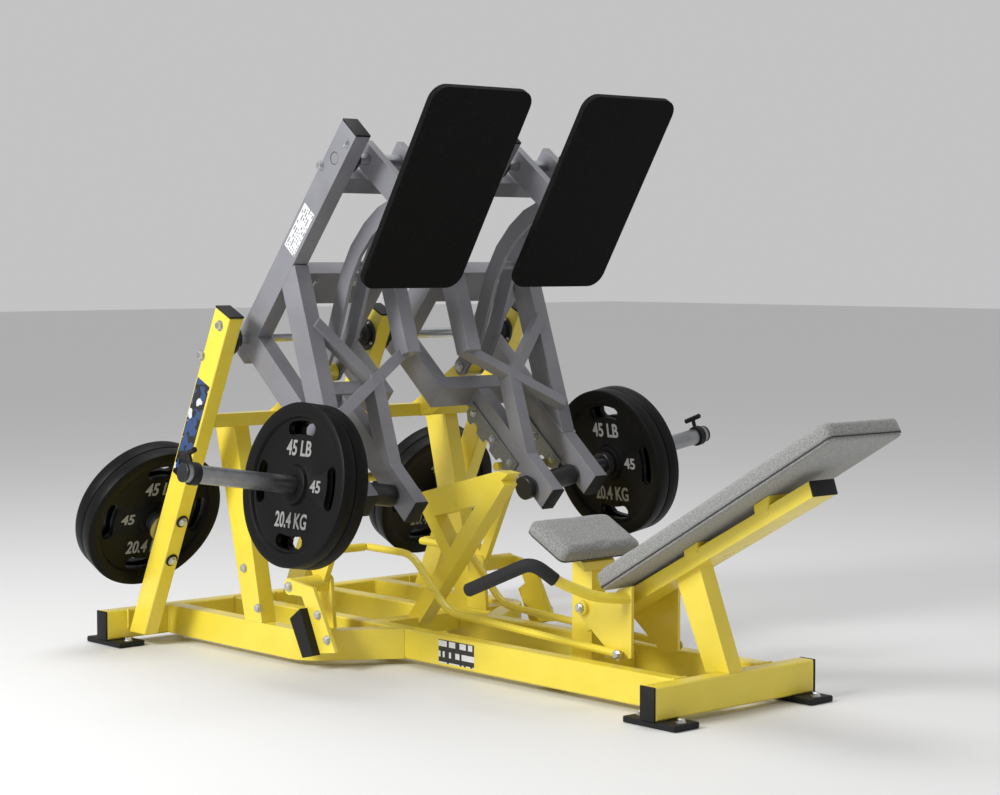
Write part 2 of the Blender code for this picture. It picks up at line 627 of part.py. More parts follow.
def build_lock(side_name, side):
    """The arm that swings a bar into the notched plates, with a rubber-faced stop at its lower end."""
    hub = round_bar("hub", (side * 0.300, *STOP_PIVOT), (side * 0.426, *STOP_PIVOT), 0.024, ROUND)
    bar_centre = (1.180, 0.550)
    swing = beam_outline(STOP_PIVOT, bar_centre, 0.034)
    crank = beam_outline(STOP_PIVOT, STOP_ROD, 0.034)
    strap = [(1.340, 0.257), (1.222, 0.242), (1.122, 0.071), (1.191, 0.061), (1.275, 0.213), (1.340, 0.213)]
    pad = [(1.249, 0.183), (1.296, 0.150), (1.238, 0.046), (1.190, 0.058)]
    parts = [
        side_plate("swing", swing, side * 0.3002, side * 0.3182),
        side_plate("crank", crank, side * 0.3004, side * 0.3180),
        side_plate("strap", strap, side * 0.4140, side * 0.4258),
        side_plate("pad", pad, side * 0.4252, side * 0.4520),
        round_bar("bar", (side * 0.228, *bar_centre), (side * 0.430, *bar_centre), 0.013),
        round_bar("rod_tube", (side * 0.1180, *STOP_ROD), (side * 0.3190, *STOP_ROD), 0.012),
    ]
    body = combined("lock", hub, parts)
    bore = round_bar("bore", (side * 0.29, *STOP_PIVOT), (side * 0.44, *STOP_PIVOT), 0.0121, ROUND)
    finish(combined(f"lock_arm_{side_name}", body, [bore], "DIFFERENCE"), YELLOW)

    x = side * 0.105
    route = [(x, *LEVER_ROD), (x, 1.009, 0.165), (x, 1.173, 0.317), (x, *STOP_ROD)]
    finish(bent_tube(f"link_rod_{side_name}", route, 0.011), YELLOW, 0, True)


def build_lever(side_name, side):
    """The hand lever beside the seat: a plate on the cross axle and a bent handle."""
    outline = [(0.290, 0.126), (0.345, 0.112), (0.498, 0.226), (0.492, 0.260), (0.450, 0.264)]
    outline += [(0.360, 0.286), (0.335, 0.304), (0.290, 0.316)]
    plate = side_plate("plate", outline, side * 0.083, side * 0.0925)
    hub = round_bar("hub", (side * 0.078, *LEVER_PIVOT), (side * 0.104, *LEVER_PIVOT), 0.020, ROUND)
    route = [
        (side * 0.088, 0.305, 0.282), (side * 0.180, 0.330, 0.290), (side * 0.290, 0.362, 0.338),
        (side * 0.345, 0.400, 0.390), (side * 0.360, 0.626, 0.297),
    ]
    handle = bent_tube("handle", [Vector(point) for point in route], 0.0145)
    body = combined("lever", plate, [hub, handle])
    bore = round_bar("bore", (side * 0.07, *LEVER_PIVOT), (side * 0.11, *LEVER_PIVOT), 0.0121, ROUND)
    finish(combined(f"hand_lever_{side_name}", body, [bore], "DIFFERENCE"), YELLOW, 0, True)


# ---- seat ---------------------------------------------------------------------------------------------
def build_seat():
    """The sloping rail that carries the pads, and what stands under it."""
    top, floor = BASE_TOP + GAP, TUBE_BOTTOM + 0.002
    rail = side_plate("rail", [(-0.268, 0.628), (0.507, 0.2105), (0.507, 0.164), (-0.281, 0.591)], -0.045, 0.045)
    between = RAIL_X - TUBE - GAP
    leg = [(0.120, 0.400), (0.199, 0.350), (0.088, 0.1095), (0.0505, 0.1095), (0.0505, top), (0.005, top)]
    parts = [
        side_plate("front_leg", leg, -0.0254, 0.0254),
        side_plate("seat_post", [(0.507, 0.0860), (0.584, 0.0860), (0.584, 0.392), (0.507, 0.350)], -0.0254, 0.0254),
        block("seat_tie", (-between, 0.500, floor), (between, 0.591, 0.0870)),
        side_plate("seat_rest", [(0.500, 0.330), (0.622, 0.394), (0.620, 0.4125), (0.507, 0.3526)], -0.060, 0.060),
    ]
    for y, z in ((-0.120, 0.548), (0.120, 0.418)):
        parts.append(side_plate("pad_bracket", [(y - 0.03, z + 0.07), (y + 0.03, z + 0.036), (y + 0.02, z - 0.02),
                                                (y - 0.02, z)], -0.050, 0.050))
    body = combined("seat_frame", rail, parts)
    slope = unit((0.780, -0.447))
    under = [(-0.394, 0.7275), along_line((-0.394, 0.7275), slope, 1.2)]
    wedge = [(-0.5, 0.7883), (0.45, 0.2439), (0.45, 0.6), (-0.5, 1.0)]
    cuts = [
        side_plate("trim", wedge, -0.2, 0.2),
        round_bar("bore", (-0.1, *LEVER_PIVOT), (0.1, *LEVER_PIVOT), 0.0119 + GAP, ROUND),
    ]
    finish(combined("seat_frame", body, cuts, "DIFFERENCE"), YELLOW)
    axle = round_bar("lever_axle", (-0.108, *LEVER_PIVOT), (0.108, *LEVER_PIVOT), 0.0119, ROUND)
    finish(axle, STEEL, 0, True)

    back = [(-0.394, 0.787), (0.386, 0.340), (0.3605, 0.2955), (-0.4195, 0.7425)]
    seat = [(0.500, 0.4015), (0.626, 0.468), (0.640, 0.4243), (0.499, 0.3498)]
    for name, outline, half in (("back_pad", back, 0.141), ("seat_pad", seat, 0.148)):
        pad = finish(side_plate(name, outline, -half, half), FABRIC, 0.010)
        pad.modifiers["rounded_edges"].segments = 3


def build_centre_frame():
    """The braced upright between the main rails, under the arms."""
    between = RAIL_X - TUBE - GAP
    low, high = TUBE_BOTTOM + 0.036, BASE_TOP
    beam = [(1.242, 0.483), (1.179, 0.419), (0.987, 0.466), (0.846, 0.567), (0.889, 0.572)]
    body = side_plate("centre", beam, -0.025, 0.025)
    parts = [
        side_plate("stay", beam_outline((0.880, 0.550), (1.276, 0.090), 0.050), -0.0248, 0.0248),
        side_plate("stay", beam_outline((1.212, 0.450), (1.095, 0.300), 0.040), -0.0246, 0.0246),
        block("tie", (-between, 1.240, low), (between, 1.300, high)),
    ]
    finish(combined("centre_frame", body, parts), YELLOW)


def place_origin():
    """Moves everything so that the origin is on the floor at the middle of the footprint."""
    corners = [obj.matrix_world @ Vector(corner) for obj in bpy.data.objects for corner in obj.bound_box]
    middle = (min(c.y for c in corners) + max(c.y for c in corners)) / 2
    for obj in bpy.data.objects:
        obj.data.transform(Matrix.Translation((0, -middle, -FLOOR)))
    print("moved along Y by", round(-middle, 5))


build_base()
build_posts()
build_seat()
build_centre_frame()
for side_name, side in SIDES.items():
    build_arm(side_name, side)
    build_horn(side_name, side)
    build_storage(side_name, side)
    build_footplate(side_name, side)
    build_link(side_name, side)
    build_lock(side_name, side)
    build_lever(side_name, side)
place_origin()
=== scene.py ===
# %% [markdown]
# A plate-loaded leg press: yellow powder-coated frame, grey swinging arms, black footplates, grey pads.
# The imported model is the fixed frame, and everything below is dressed around it.

import json
import math

import bmesh
import bpy
from mathutils import Matrix, Vector
from mathutils.bvhtree import BVHTree


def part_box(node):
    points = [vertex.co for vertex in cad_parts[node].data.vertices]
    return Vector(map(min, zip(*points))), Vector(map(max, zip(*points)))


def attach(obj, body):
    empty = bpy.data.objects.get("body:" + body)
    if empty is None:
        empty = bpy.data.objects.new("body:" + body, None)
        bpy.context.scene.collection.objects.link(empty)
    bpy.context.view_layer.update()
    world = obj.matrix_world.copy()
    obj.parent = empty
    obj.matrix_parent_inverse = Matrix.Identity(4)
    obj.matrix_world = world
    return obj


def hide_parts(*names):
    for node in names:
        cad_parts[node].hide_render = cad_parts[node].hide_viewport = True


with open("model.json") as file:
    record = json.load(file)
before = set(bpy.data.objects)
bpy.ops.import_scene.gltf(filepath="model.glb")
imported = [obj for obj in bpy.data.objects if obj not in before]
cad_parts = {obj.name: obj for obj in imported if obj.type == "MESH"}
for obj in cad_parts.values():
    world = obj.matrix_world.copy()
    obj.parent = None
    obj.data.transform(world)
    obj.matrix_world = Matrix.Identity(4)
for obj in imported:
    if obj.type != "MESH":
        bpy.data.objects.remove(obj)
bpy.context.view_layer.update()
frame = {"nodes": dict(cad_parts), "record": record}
NODES = frame["nodes"]
JOINTS = {joint["name"]: joint for joint in frame["record"]["behaviour"]["joints"]}
SIDES = {"left": -1, "right": 1}
print("nodes:", len(NODES), "joints:", len(JOINTS))

# %% [markdown]
# Each swinging piece turns on a joint of the frame, so those axes are the landmarks for bolts and labels.

# %% Landmarks
def pivot(name):
    """Where a joint's axis crosses the side view, as (y, z)."""
    return Vector(JOINTS[name + "_left"]["pos_m"][1:])


ARM_PIVOT = pivot("arm_swing")
TOP_PIVOT = pivot("footplate_tilt")
LINK_PIVOT = pivot("link_swing")
LOCK_PIVOT = pivot("lock_release")
LEVER_PIVOT = pivot("lever_pull")
ROD_PIVOT = pivot("rod_joint")
ARM_OUTER, ARM_INNER, TUBE, DEEP = 0.462, 0.091, 0.050, 0.076
ARM_LINE = Vector((-0.6365, 0.7713)).normalized()
ARM_FRONT = Vector((-ARM_LINE.y, ARM_LINE.x))
LEG_LINE = Vector((-0.757, -0.654)).normalized()
LEG_UNDER = Vector((-LEG_LINE.y, LEG_LINE.x))
POST_X, POST_LEAN = 0.551, math.radians(25.3)
POST_LINE = Vector((-math.sin(POST_LEAN), math.cos(POST_LEAN)))
POST_FRONT = Vector((-POST_LINE.y, POST_LINE.x))
POST_TOP = 1.088
DATUM = ARM_PIVOT - Vector((1.482, 0.943))


def from_front(y, z):
    """A side-view place measured from the front cross member and a level just under the floor."""
    return DATUM + Vector((y, z))


POST_FOOT = from_front(1.9055, 0.0330)
STORAGE_AT = 0.360
HORN_START, COLLAR_AT, HORN_END, HORN_TILT = 0.239, 0.530, 0.985, math.radians(8.9)
STRAP_FACE = 0.4258


def spot(x, yz):
    return Vector((x, yz[0], yz[1]))


print("arm pivot", [round(value, 3) for value in ARM_PIVOT])

# %% [markdown]
# Paint and fabric are procedural. Colours are the hex values a paint card would give, turned to linear light,
# and each pattern's scale comes from a real size in millimetres.

# %% Colour and node helpers
def linear(hex_colour):
    """A six-digit sRGB hex colour as linear red, green, blue and alpha."""
    values = [int(hex_colour[index:index + 2], 16) / 255 for index in (0, 2, 4)]
    return (*[v / 12.92 if v <= 0.04045 else ((v + 0.055) / 1.055) ** 2.4 for v in values], 1.0)


def per_mm(size):
    """The texture scale that makes one feature this many millimetres wide."""
    return 1000.0 / size


def add(tree, kind, settings=None, **inputs):
    """Adds a node. Settings are its properties; inputs are values or sockets, by input name or number."""
    node = tree.nodes.new(kind)
    for key, value in (settings or {}).items():
        setattr(node, key, value)
    for key, value in inputs.items():
        name = key.replace("_", " ")
        socket = node.inputs[int(key[1:])] if key[0] == "i" and key[1:].isdigit() else node.inputs[name]
        if isinstance(value, bpy.types.NodeSocket):
            tree.links.new(value, socket)
        else:
            socket.default_value = value
    return node


def start(name, **shader_values):
    """A material with only a Principled shader and its output, and Object coordinates to read."""
    material = bpy.data.materials.new(name)
    material.use_nodes = True
    tree = material.node_tree
    tree.nodes.clear()
    output = tree.nodes.new("ShaderNodeOutputMaterial")
    shader = tree.nodes.new("ShaderNodeBsdfPrincipled")
    tree.links.new(shader.outputs[0], output.inputs["Surface"])
    for key, value in shader_values.items():
        shader.inputs[key.replace("_", " ")].default_value = value
    coords = tree.nodes.new("ShaderNodeTexCoord").outputs["Object"]
    return material, tree, shader, coords


def ramp(tree, factor, low, high, first, second):
    """Blends two colours as factor goes from low to high."""
    node = add(tree, "ShaderNodeValToRGB", i0=factor)
    node.color_ramp.elements[0].position, node.color_ramp.elements[0].color = low, first
    node.color_ramp.elements[1].position, node.color_ramp.elements[1].color = high, second
    return node.outputs["Color"]


def bump(tree, shader, height, distance_mm, strength=1.0, normal=None):
    extra = {"Normal": normal} if normal else {}
    node = add(tree, "ShaderNodeBump", Strength=strength, Distance=distance_mm / 1000, Height=height, **extra)
    tree.links.new(node.outputs["Normal"], shader.inputs["Normal"])


print("paint card check:", [round(value, 3) for value in linear("F2DF6E")])

# %% [markdown]
# Powder coat is plastic powder baked on steel. It flows into a skin with a faint orange peel about 2 mm
# across. Its corners are painted lighter: partly paint that handling rubs thin, partly a painted highlight
# along the edges.

# %% Powder coats
def powder_coat(name, body, shade, edge, peel_mm=2.2, flake=False, **shader_values):
    material, tree, shader, coords = start(name, **shader_values)
    cloud = add(tree, "ShaderNodeTexNoise", Vector=coords, Scale=per_mm(180), Detail=3.0).outputs["Fac"]
    paint = ramp(tree, cloud, 0.35, 0.68, linear(shade), linear(body))
    rounded = add(tree, "ShaderNodeBevel", {"samples": 4}, Radius=0.0022).outputs[0]
    facing = add(tree, "ShaderNodeNewGeometry").outputs["Normal"]
    turned = add(tree, "ShaderNodeVectorMath", {"operation": "DOT_PRODUCT"}, i0=rounded, i1=facing)
    edge_lightening_patches = add(tree, "ShaderNodeTexNoise", Vector=coords, Scale=per_mm(14), Detail=4.0).outputs["Fac"]
    # Edges are lighter than the flat faces: partly paint rubbed thin, partly a painted highlight.
    edge_wear_and_highlight = add(tree, "ShaderNodeMapRange", i0=turned.outputs["Value"], i1=0.985, i2=0.86, i3=0.0, i4=0.75)
    edge_wear_and_highlight_amount = add(tree, "ShaderNodeMath", {"operation": "MULTIPLY"}, i0=edge_wear_and_highlight.outputs[0], i1=edge_lightening_patches)
    mixed = add(tree, "ShaderNodeMix", {"data_type": "RGBA"}, i0=edge_wear_and_highlight_amount.outputs[0], i6=paint, i7=linear(edge))
    colour = mixed.outputs[2]
    if flake:
        speck = add(tree, "ShaderNodeTexVoronoi", Vector=coords, Scale=per_mm(1.6)).outputs["Distance"]
        bright = add(tree, "ShaderNodeMapRange", i0=speck, i1=0.16, i2=0.05, i3=0.0, i4=0.35).outputs[0]
        flaked = add(tree, "ShaderNodeMix", {"data_type": "RGBA"}, i0=bright, i6=colour, i7=linear(edge))
        colour = flaked.outputs[2]
    tree.links.new(colour, shader.inputs["Base Color"])
    dust = add(tree, "ShaderNodeTexNoise", Vector=coords, Scale=per_mm(60), Detail=5.0).outputs["Fac"]
    gloss = add(tree, "ShaderNodeMapRange", i0=dust, i1=0.3, i2=0.7, i3=0.27, i4=0.42)
    tree.links.new(gloss.outputs[0], shader.inputs["Roughness"])
    peel = add(tree, "ShaderNodeTexNoise", Vector=coords, Scale=per_mm(peel_mm), Detail=2.0).outputs["Fac"]
    bump(tree, shader, peel, 0.05, 0.5, rounded)
    return material


# The third colour of each coat is its lighter edge tone: partly rubbed paint, partly a painted highlight.
YELLOW = powder_coat("powder_coat_yellow", "EBD64A", "E2CC3E", "F4E89A", IOR=1.5, Coat_Weight=0.15)
GREY = powder_coat("powder_coat_graphite", "84848A", "77777D", "B8B8BE", flake=True, IOR=1.5, Coat_Weight=0.2)
SATIN_BLACK = powder_coat("powder_coat_black", "17171A", "101012", "3A3A40", IOR=1.5)
print("powder coats: yellow, graphite, black")

# %% [markdown]
# Rubber and moulded plastic are matt black with a fine grain. Cast iron keeps the sand's texture under its
# enamel. Plated steel shows the lathe's rings round the horns, and zinc on the bolts has a mottled sheen.

# %% Rubber, iron and plated steel
def grained(name, colour, light, grain_mm, depth_mm, roughness, **shader_values):
    material, tree, shader, coords = start(name, **shader_values)
    grain = add(tree, "ShaderNodeTexNoise", Vector=coords, Scale=per_mm(grain_mm), Detail=6.0).outputs["Fac"]
    tree.links.new(ramp(tree, grain, 0.3, 0.75, linear(colour), linear(light)), shader.inputs["Base Color"])
    spread = add(tree, "ShaderNodeMapRange", i0=grain, i1=0.3, i2=0.7, i3=roughness - 0.08,
                 i4=roughness + 0.08)
    tree.links.new(spread.outputs[0], shader.inputs["Roughness"])
    bump(tree, shader, grain, depth_mm, 0.6)
    return material


RUBBER = grained("moulded_rubber_black", "090909", "151515", 1.4, 0.15, 0.62, IOR=1.52,
                 Specular_IOR_Level=0.3)
FOAM = grained("foam_grip_black", "0A0A0A", "1C1C1C", 0.9, 0.30, 0.80, IOR=1.5)
IRON = grained("enamelled_cast_iron", "060606", "0C0C0B", 3.0, 0.25, 0.48, IOR=1.5, Specular_IOR_Level=0.14)
HOUSING = grained("painted_cast_housing", "141416", "26262A", 2.0, 0.3, 0.48, IOR=1.5)
ZINC = grained("zinc_plated_steel", "B9BBBE", "D9DBDD", 1.2, 0.03, 0.30, Metallic=1.0)
GALVANISED = grained("galvanised_sheet", "7A7D80", "9A9C9E", 9.0, 0.04, 0.42, Metallic=1.0)
LETTERING = grained("painted_lettering_silver", "7E7E7C", "969694", 1.0, 0.04, 0.45, IOR=1.5)


def turned_steel(name, tilt):
    """Plated bar turned on a lathe: fine rings across its axis, here 1.2 mm apart so that they show."""
    material, tree, shader, coords = start(name, Metallic=1.0)
    lean = add(tree, "ShaderNodeMapping", {"vector_type": "POINT"}, Vector=coords, Rotation=(0.0, tilt, 0.0))
    rings = add(tree, "ShaderNodeTexWave", {"bands_direction": "X"}, Vector=lean.outputs[0],
                Scale=per_mm(1.2) / 20, Distortion=0.6, Detail=2.0).outputs["Fac"]
    mottle = add(tree, "ShaderNodeTexNoise", Vector=coords, Scale=per_mm(25), Detail=3.0).outputs["Fac"]
    shade = ramp(tree, mottle, 0.3, 0.7, linear("8B8C8F"), linear("9A9B9E"))
    tree.links.new(shade, shader.inputs["Base Color"])
    gloss = add(tree, "ShaderNodeMapRange", i0=mottle, i1=0.3, i2=0.7, i3=0.30, i4=0.36)
    tree.links.new(gloss.outputs[0], shader.inputs["Roughness"])
    bump(tree, shader, rings, 0.02, 0.4)
    return material


BAR = turned_steel("turned_plated_steel", HORN_TILT)
print("rubber, foam, iron, housing, zinc, galvanised, bar")

# %% [markdown]
# The footplates carry a rough sprayed grip coat: black, with pale grit that catches the light.

# %% Grip coat
def grip_coat():
    material, tree, shader, coords = start("sprayed_grit_coat", Roughness=0.72, IOR=1.5,
                                           Specular_IOR_Level=0.12)
    grit = add(tree, "ShaderNodeTexVoronoi", Vector=coords, Scale=per_mm(3.6), Randomness=1.0)
    pick = add(tree, "ShaderNodeSeparateColor", Color=grit.outputs["Color"]).outputs[0]
    few = add(tree, "ShaderNodeMath", {"operation": "GREATER_THAN"}, i0=pick, i1=0.80).outputs[0]
    reach = grit.outputs["Distance"]
    dot = add(tree, "ShaderNodeMath", {"operation": "LESS_THAN"}, i0=reach, i1=0.20).outputs[0]
    mask = add(tree, "ShaderNodeMath", {"operation": "MULTIPLY"}, i0=few, i1=dot).outputs[0]
    mix = add(tree, "ShaderNodeMix", {"data_type": "RGBA"}, i0=mask, i6=linear("080808"), i7=linear("3C3C3C"))
    tree.links.new(mix.outputs[2], shader.inputs["Base Color"])
    rough = add(tree, "ShaderNodeTexNoise", Vector=coords, Scale=per_mm(1.8), Detail=4.0).outputs["Fac"]
    bump(tree, shader, rough, 0.5, 0.6)
    return material


GRIT = grip_coat()
print("grip coat ready")

# %% [markdown]
# The pads are covered in a heathered vinyl that looks like woven cloth, with threads of light and dark grey.
# A 5 mm mottle and a 2 mm thread are mixed so that it shows from across the room.

# %% Heather cover
def heather():
    material, tree, shader, coords = start("heathered_vinyl", Roughness=0.78, Sheen_Weight=0.25, IOR=1.5)
    mottle = add(tree, "ShaderNodeTexNoise", Vector=coords, Scale=per_mm(5), Detail=6.0, Roughness=0.75)
    thread = add(tree, "ShaderNodeTexNoise", Vector=coords, Scale=per_mm(2), Detail=2.0).outputs["Fac"]
    both = add(tree, "ShaderNodeMath", {"operation": "MULTIPLY_ADD"}, i0=thread, i1=0.45,
               i2=mottle.outputs["Fac"])
    shade = ramp(tree, both.outputs[0], 0.52, 0.92, linear("5C5C5B"), linear("A2A2A0"))
    tree.links.new(shade, shader.inputs["Base Color"])
    weave = add(tree, "ShaderNodeTexVoronoi", Vector=coords, Scale=per_mm(1.6)).outputs["Distance"]
    bump(tree, shader, weave, 0.25, 0.5)
    return material


HEATHER = heather()
SEAM = grained("seam_welt_vinyl", "262626", "3A3A3A", 1.5, 0.2, 0.7, IOR=1.5)
THREAD = grained("polyester_thread_grey", "8B8B8A", "A6A6A4", 0.8, 0.1, 0.6, IOR=1.5)
print("pad cover ready")

# %% [markdown]
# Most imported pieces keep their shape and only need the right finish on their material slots.

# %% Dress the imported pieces
def finish_of(name):
    if name.startswith(("press_arm", "curved_link", "footplate_carrier")):
        return GREY
    if "bearing" in name:
        return HOUSING
    if name.endswith(("foot_left", "foot_right")) or name.startswith("spring_clip"):
        return RUBBER
    if "shaft" in name or name == "lever_axle":
        return ZINC
    if name.startswith(("weight_horn", "storage_horn")):
        return BAR
    if "plate_" in name and name.startswith(("weight", "stored")):
        return IRON
    if name.startswith("footplate_"):
        return GRIT
    if name.endswith("_pad"):
        return HEATHER
    return YELLOW


for name, obj in NODES.items():
    for slot in obj.material_slots:
        slot.material = finish_of(name)
print("finishes assigned to", len(NODES), "packed pieces")

# %% [markdown]
# Helpers for new pieces: each rides on a body and takes a finish, and many come once on each side.

# %% Piece helpers
def piece(name, mesh, material, body):
    obj = bpy.data.objects.new(name, mesh)
    bpy.context.collection.objects.link(obj)
    mesh.materials.clear()
    mesh.materials.append(material)
    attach(obj, body)
    return obj


def mesh_from(name, fill, smooth_angle=None):
    made = bmesh.new()
    fill(made)
    mesh = bpy.data.meshes.new(name)
    made.to_mesh(mesh)
    made.free()
    if smooth_angle:
        mesh.shade_smooth()
        mesh.set_sharp_from_angle(angle=math.radians(smooth_angle))
    return mesh


def piece_each_side(stem, fill, material, body, smooth_angle=None):
    """The same piece left and right. fill also gets the side's sign, and body may hold a gap for its name."""
    for side_name, side in SIDES.items():
        mesh = mesh_from(stem, lambda made: fill(made, side), smooth_angle)
        piece(f"{stem}_{side_name}", mesh, material, body.format(side_name))


def baked(obj, frames=0):
    """The mesh that an object's modifiers or curve give after some frames. The object is then removed."""
    bpy.context.collection.objects.link(obj)
    for number in range(1, frames + 1):
        bpy.context.scene.frame_set(number)
    graph = bpy.context.evaluated_depsgraph_get()
    mesh = bpy.data.meshes.new_from_object(obj.evaluated_get(graph))
    bpy.data.objects.remove(obj, do_unlink=True)
    return mesh


def prism(made, outline, sweep):
    """A solid from a flat outline, carried along one vector."""
    face = made.faces.new([made.verts.new(point) for point in outline])
    moved = bmesh.ops.extrude_face_region(made, geom=[face])["geom"]
    far = [item for item in moved if isinstance(item, bmesh.types.BMVert)]
    bmesh.ops.translate(made, verts=far, vec=sweep)


def skin(made, rings):
    """Closes a row of equal rings into one tube with flat ends."""
    made.faces.new(rings[0][::-1])
    made.faces.new(rings[-1])
    for low, high in zip(rings, rings[1:]):
        for step in range(len(low)):
            after = (step + 1) % len(low)
            made.faces.new((low[step], low[after], high[after], high[step]))


def rounded_box(made, centre, axes, size, radius, segments=2):
    """A box with rounded edges: axes are its three unit directions and size its three lengths."""
    part = bmesh.new()
    bmesh.ops.create_cube(part, size=1.0)
    bmesh.ops.scale(part, vec=size, verts=part.verts)
    bmesh.ops.bevel(part, geom=part.edges[:], offset=radius, segments=segments, affect="EDGES", profile=0.5)
    turn = Matrix([[axis[row] for axis in axes] for row in range(3)]).to_4x4()
    if turn.determinant() < 0:
        bmesh.ops.reverse_faces(part, faces=part.faces)
    bmesh.ops.transform(part, matrix=Matrix.Translation(centre) @ turn, verts=part.verts)
    step = bpy.data.meshes.new("step")
    part.to_mesh(step)
    part.free()
    made.from_mesh(step)
    bpy.data.meshes.remove(step)


print("piece helpers ready")

# %% [markdown]
# Plastic end caps close every open tube end: a flat black cover with rounded edges, the size of the tube.

# %% End caps
CAP = 0.006
X_AXIS = Vector((1, 0, 0))


def side_axes(line):
    along = Vector((0, line[0], line[1]))
    return X_AXIS, along, X_AXIS.cross(along)


def cap_on(made, x, end, line, depth=DEEP, width=TUBE):
    """A cap over the end of a tube that runs along a side-view line and stops at this (y, z) place."""
    centre = spot(x, end) + Vector((0, *line)) * (CAP / 2)
    rounded_box(made, centre, side_axes(line), (width + 0.001, CAP, depth + 0.001), 0.002)


def frame_caps(made):
    top = POST_FOOT + POST_LINE * (POST_TOP + 0.0002)
    for x in (-POST_X, 0.0, POST_X):
        cap_on(made, x, top, POST_LINE)
    rail_end = from_front(-0.2745, 0.6095)
    cap_on(made, 0.0, rail_end, Vector((-0.943, 0.331)).normalized(), depth=0.0392, width=0.090)
    for node in ("front_cross_member", "rear_cross_member"):
        low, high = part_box(node)
        middle = (Vector(low) + Vector(high)) / 2
        size = (CAP, high[1] - low[1] + 0.001, high[2] - low[2] + 0.001)
        for end, way in ((low[0], -1), (high[0], 1)):
            place = Vector((end + way * (CAP / 2 - 0.001), middle.y, middle.z))
            rounded_box(made, place, (X_AXIS, Vector((0, 1, 0)), Vector((0, 0, 1))), size, 0.002)


def arm_caps(made, side):
    top = ARM_PIVOT + ARM_LINE * 0.7512
    for x in (ARM_INNER + TUBE / 2, ARM_OUTER - TUBE / 2):
        cap_on(made, side * x, top, ARM_LINE)
    outer_end = ARM_PIVOT + LEG_LINE * 0.6802
    cap_on(made, side * (ARM_OUTER - TUBE / 2), outer_end, LEG_LINE)
    inner_end = ARM_PIVOT + LEG_LINE * 0.7002 + LEG_UNDER * 0.022
    cap_on(made, side * 0.2605, inner_end, LEG_LINE, width=0.043)


piece("frame_end_caps", mesh_from("frame_end_caps", frame_caps, 40), RUBBER, "frame")
piece_each_side("arm_end_caps", arm_caps, RUBBER, "arm_{}", 40)
print("end caps: 8 on the frame, 4 on each arm")

# %% [markdown]
# Every joint is held by plated hex bolts on washers. One Geometry Nodes tree puts a bolt on each point of a
# small mesh, turned to the point's facing vector and scaled by its size, so a bolt is designed once.

# %% Bolt tree
def open_tree(name, sizes):
    """A tree that takes a mesh, these sizes and a finish, and the sockets of its inputs."""
    tree = bpy.data.node_groups.new(name, "GeometryNodeTree")
    face = tree.interface
    face.new_socket("Geometry", in_out="INPUT", socket_type="NodeSocketGeometry")
    for size_name, value in sizes.items():
        face.new_socket(size_name, in_out="INPUT", socket_type="NodeSocketFloat").default_value = value
    face.new_socket("Finish", in_out="INPUT", socket_type="NodeSocketMaterial")
    face.new_socket("Geometry", in_out="OUTPUT", socket_type="NodeSocketGeometry")
    return tree, tree.nodes.new("NodeGroupInput").outputs


def close_tree(tree, copies, finish):
    """Ends a tree: its copies become one mesh with the finish on it."""
    solid = add(tree, "GeometryNodeRealizeInstances", Geometry=copies).outputs[0]
    done = add(tree, "GeometryNodeSetMaterial", Geometry=solid, Material=finish).outputs[0]
    leave = tree.nodes.new("NodeGroupOutput")
    tree.links.new(done, leave.inputs[0])
    return tree


def bolt_tree():
    sizes = {"Head radius": 0.0095, "Head height": 0.0065, "Washer radius": 0.0125}
    tree, given = open_tree("bolts_on_points", sizes)
    radius, height, washer_radius = (given[name] for name in sizes)

    def lifted(mesh, lift):
        offset = add(tree, "ShaderNodeCombineXYZ", Z=lift).outputs[0]
        return add(tree, "GeometryNodeTransform", Geometry=mesh, Translation=offset).outputs[0]

    washer = add(tree, "GeometryNodeMeshCylinder", Vertices=24, Radius=washer_radius, Depth=0.0018).outputs[0]
    head = add(tree, "GeometryNodeMeshCylinder", Vertices=6, Radius=radius, Depth=height).outputs[0]
    half = add(tree, "ShaderNodeMath", {"operation": "MULTIPLY_ADD"}, i0=height, i1=0.5, i2=0.0018).outputs[0]
    tip_radius = add(tree, "ShaderNodeMath", {"operation": "MULTIPLY"}, i0=radius, i1=0.78).outputs[0]
    crown = add(tree, "GeometryNodeMeshCone", Vertices=6, Radius_Top=tip_radius, Radius_Bottom=radius,
                Depth=0.0016).outputs[0]
    top = add(tree, "ShaderNodeMath", {"operation": "ADD"}, i0=height, i1=0.0018).outputs[0]
    join = tree.nodes.new("GeometryNodeJoinGeometry")
    for mesh, lift in ((washer, 0.0009), (head, half), (crown, top)):
        tree.links.new(lifted(mesh, lift), join.inputs[0])
    facing = add(tree, "GeometryNodeInputNamedAttribute", {"data_type": "FLOAT_VECTOR"}, Name="facing")
    size = add(tree, "GeometryNodeInputNamedAttribute", {"data_type": "FLOAT"}, Name="size").outputs[0]
    turn = add(tree, "FunctionNodeAlignRotationToVector", {"axis": "Z"}, Vector=facing.outputs[0]).outputs[0]
    copies = add(tree, "GeometryNodeInstanceOnPoints", Points=given["Geometry"], Instance=join.outputs[0],
                 Rotation=turn, Scale=size).outputs[0]
    return close_tree(tree, copies, given["Finish"])


BOLTS = bolt_tree()


def identifier(tree, label):
    return next(s.identifier for s in tree.interface.items_tree if s.name == label and s.in_out == "INPUT")


def grown(name, points_mesh, tree, material, body, slot, **inputs):
    """Runs a tree on a small mesh and keeps the result as a plain piece."""
    host = bpy.data.objects.new(name, points_mesh)
    modifier = host.modifiers.new("grow", "NODES")
    modifier.node_group = tree
    modifier[identifier(tree, "Finish")] = material
    for label, value in inputs.items():
        modifier[identifier(tree, label.replace("_", " "))] = value
    mesh = baked(host)
    mesh.shade_smooth()
    mesh.set_sharp_from_angle(angle=math.radians(30))
    return piece(name, mesh, material, body)


